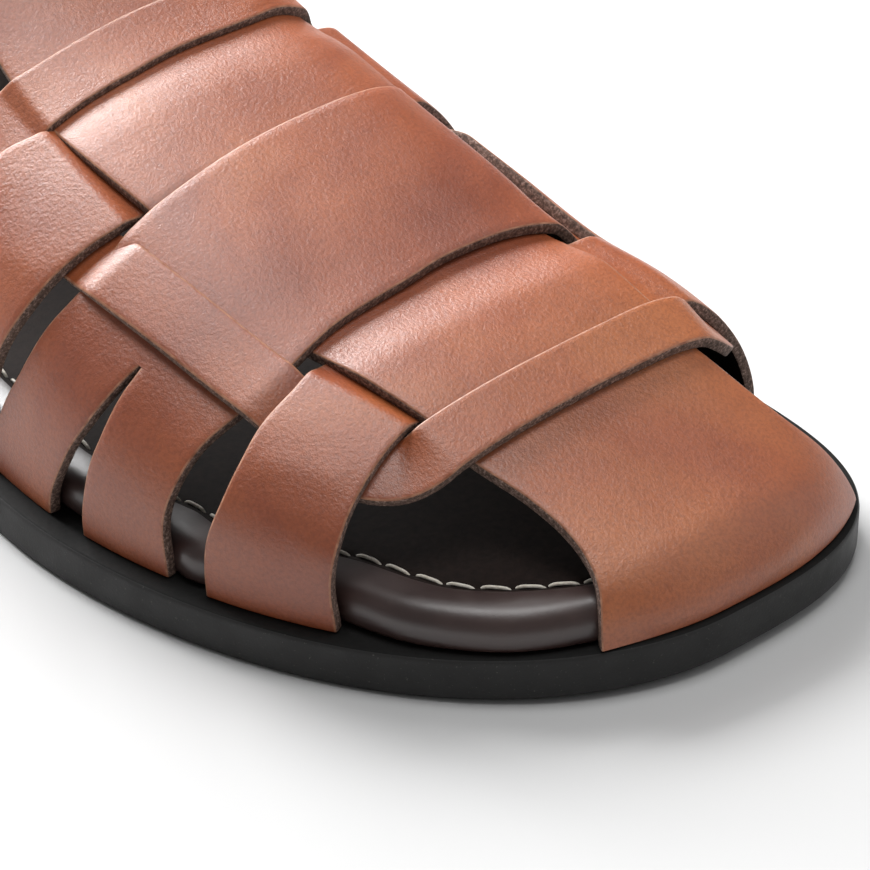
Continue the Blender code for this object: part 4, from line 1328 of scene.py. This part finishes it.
def stitches():
    """A running stitch round the footbed: each stitch sags between its two holes."""
    pick = random.Random(4)
    loop = footbed_ring(STITCH_INSET, STITCH_HEIGHT, 2400)
    loop = np.concatenate([loop, loop[:1]])
    run = run_along(loop)
    number = int(round(run[-1] / STITCH_PITCH))
    step = run[-1] / number
    share = np.linspace(0, 1, STITCH_POINTS)
    arch = np.clip(1 - (2 * share - 1) ** 4, 0, 1)
    wide = THREAD_WIDTH / 2 * (0.75 + 0.25 * arch)
    points, faces = [], []
    for i in range(number):
        start = i * step + pick.uniform(-0.12, 0.12)
        end = start + step * STITCH_PART + pick.uniform(-0.15, 0.1)
        line = read_line(np.linspace(start, end, STITCH_POINTS) % run[-1], run, loop)
        line[:, 2] += STITCH_END + STITCH_ARCH * arch + pick.uniform(-0.04, 0.04)
        along = unit(np.gradient(line[:, :2], axis=0))
        slant = STITCH_SLANT * (share - 0.5) + pick.uniform(-0.06, 0.06)
        line[:, 0] += along[:, 1] * slant
        line[:, 1] -= along[:, 0] * slant
        more_points, more_faces = tube(line, wide, sides=8)
        faces.extend(tuple(len(points) + k for k in face) for face in more_faces)
        points.extend(more_points)
    return add_mesh("footbed_stitches", points, faces, [THREAD])


footbed_rings = [footbed_ring(*row) for row in FOOTBED_PROFILE]
keep(plate("footbed_cover", footbed_rings, GLOSSY_ROWS, [DARK, SHADED_SOCK]), "footbed")
keep(stitches(), "footbed")
keep(punched_holes(), "upper")

HEEL_TOP = HEEL_LIFT - GAP
HEEL_PROFILE = (
    # in from the outline, height
    (1.3, 0.0),
    (0.75, 0.15),
    (HEEL_INSET, 0.7),
    (HEEL_INSET, HEEL_TOP - 0.4),
    (0.9, HEEL_TOP),
)


def heel_piece():
    """The heel block: the sole's outline at the back, cut straight at its front."""
    rings = []
    for inset, height in HEEL_PROFILE:
        loop = outline(inset)
        rear = loop[loop[:, 0] < HEEL_FRONT_X + HEEL_INSET - inset]
        order = np.argsort(np.arctan2(rear[:, 1], rear[:, 0] - HEEL_FRONT_X) % (2 * math.pi))
        rear = rear[order]
        run = run_along(rear)
        curve = read_line(np.linspace(0, run[-1], 260), run, rear)
        front = np.linspace(curve[-1], curve[0], 42)[1:-1]
        ring = np.concatenate([curve, front])
        rings.append(np.column_stack([ring, np.full(len(ring), height)]))
    rings = np.stack(rings)
    return add_mesh("heel_block", rings.reshape(-1, 3), loft(rings), [RUBBER])


keep(heel_piece(), "heel")

# ---------------------------------------------------------------- floor, light, camera

FAR = 4000
floor_corners = [(-FAR, -FAR, 0), (FAR, -FAR, 0), (FAR, FAR, 0), (-FAR, FAR, 0)]
floor = add_mesh("floor", floor_corners, [(0, 1, 2, 3)], [floor_white()])

LIT_POINT = (0.08, 0, 0.02)
# name, place, size, power
LIGHTS = (
    ("heel_side", (-1.0, 0.14, 0.68), (0.9, 0.8), 37),
    ("heel_high", (-0.85, 0.1, 0.95), (0.6, 0.6), 5),
    ("overhead", (0.1, 0.05, 1.3), (0.55, 0.55), 7),
    ("far_side", (0.75, 1.0, 0.7), (0.9, 0.7), 2),
)
for name, place, size, power in LIGHTS:
    data = bpy.data.lights.new(name, "AREA")
    data.shape = "RECTANGLE"
    data.size, data.size_y = size
    data.energy = power
    light = bpy.data.objects.new(name, data)
    light.location = place
    light.rotation_euler = (Vector(LIT_POINT) - Vector(place)).to_track_quat("-Z", "Y").to_euler()
    bpy.context.scene.collection.objects.link(light)

world = bpy.data.worlds.new("studio")
world.use_nodes = True
world.node_tree.nodes["Background"].inputs["Color"].default_value = (1, 1, 1, 1)
world.node_tree.nodes["Background"].inputs["Strength"].default_value = 0.2
bpy.context.scene.world = world
bpy.context.scene.view_settings.view_transform = "Standard"

AZIMUTH, ELEVATION = math.radians(50.33), math.radians(33.49)
FIELD = math.radians(13.96)
back = Vector(
    (
        math.sin(AZIMUTH) * math.cos(ELEVATION),
        -math.cos(AZIMUTH) * math.cos(ELEVATION),
        math.sin(ELEVATION),
    )
)
lens = bpy.data.cameras.new("camera")
lens.sensor_width = 36.0
lens.lens = lens.sensor_width / 2 / math.tan(FIELD / 2)
lens.shift_x, lens.shift_y = -0.01523, -0.00709
lens.clip_start, lens.clip_end = 0.02, 50.0
camera = bpy.data.objects.new("camera", lens)
camera.location = (0.4473, -0.2907, 0.3199)
camera.rotation_euler = (-back).to_track_quat("-Z", "Y").to_euler()
bpy.context.scene.collection.objects.link(camera)
bpy.context.scene.camera = camera

bpy.context.view_layer.update()
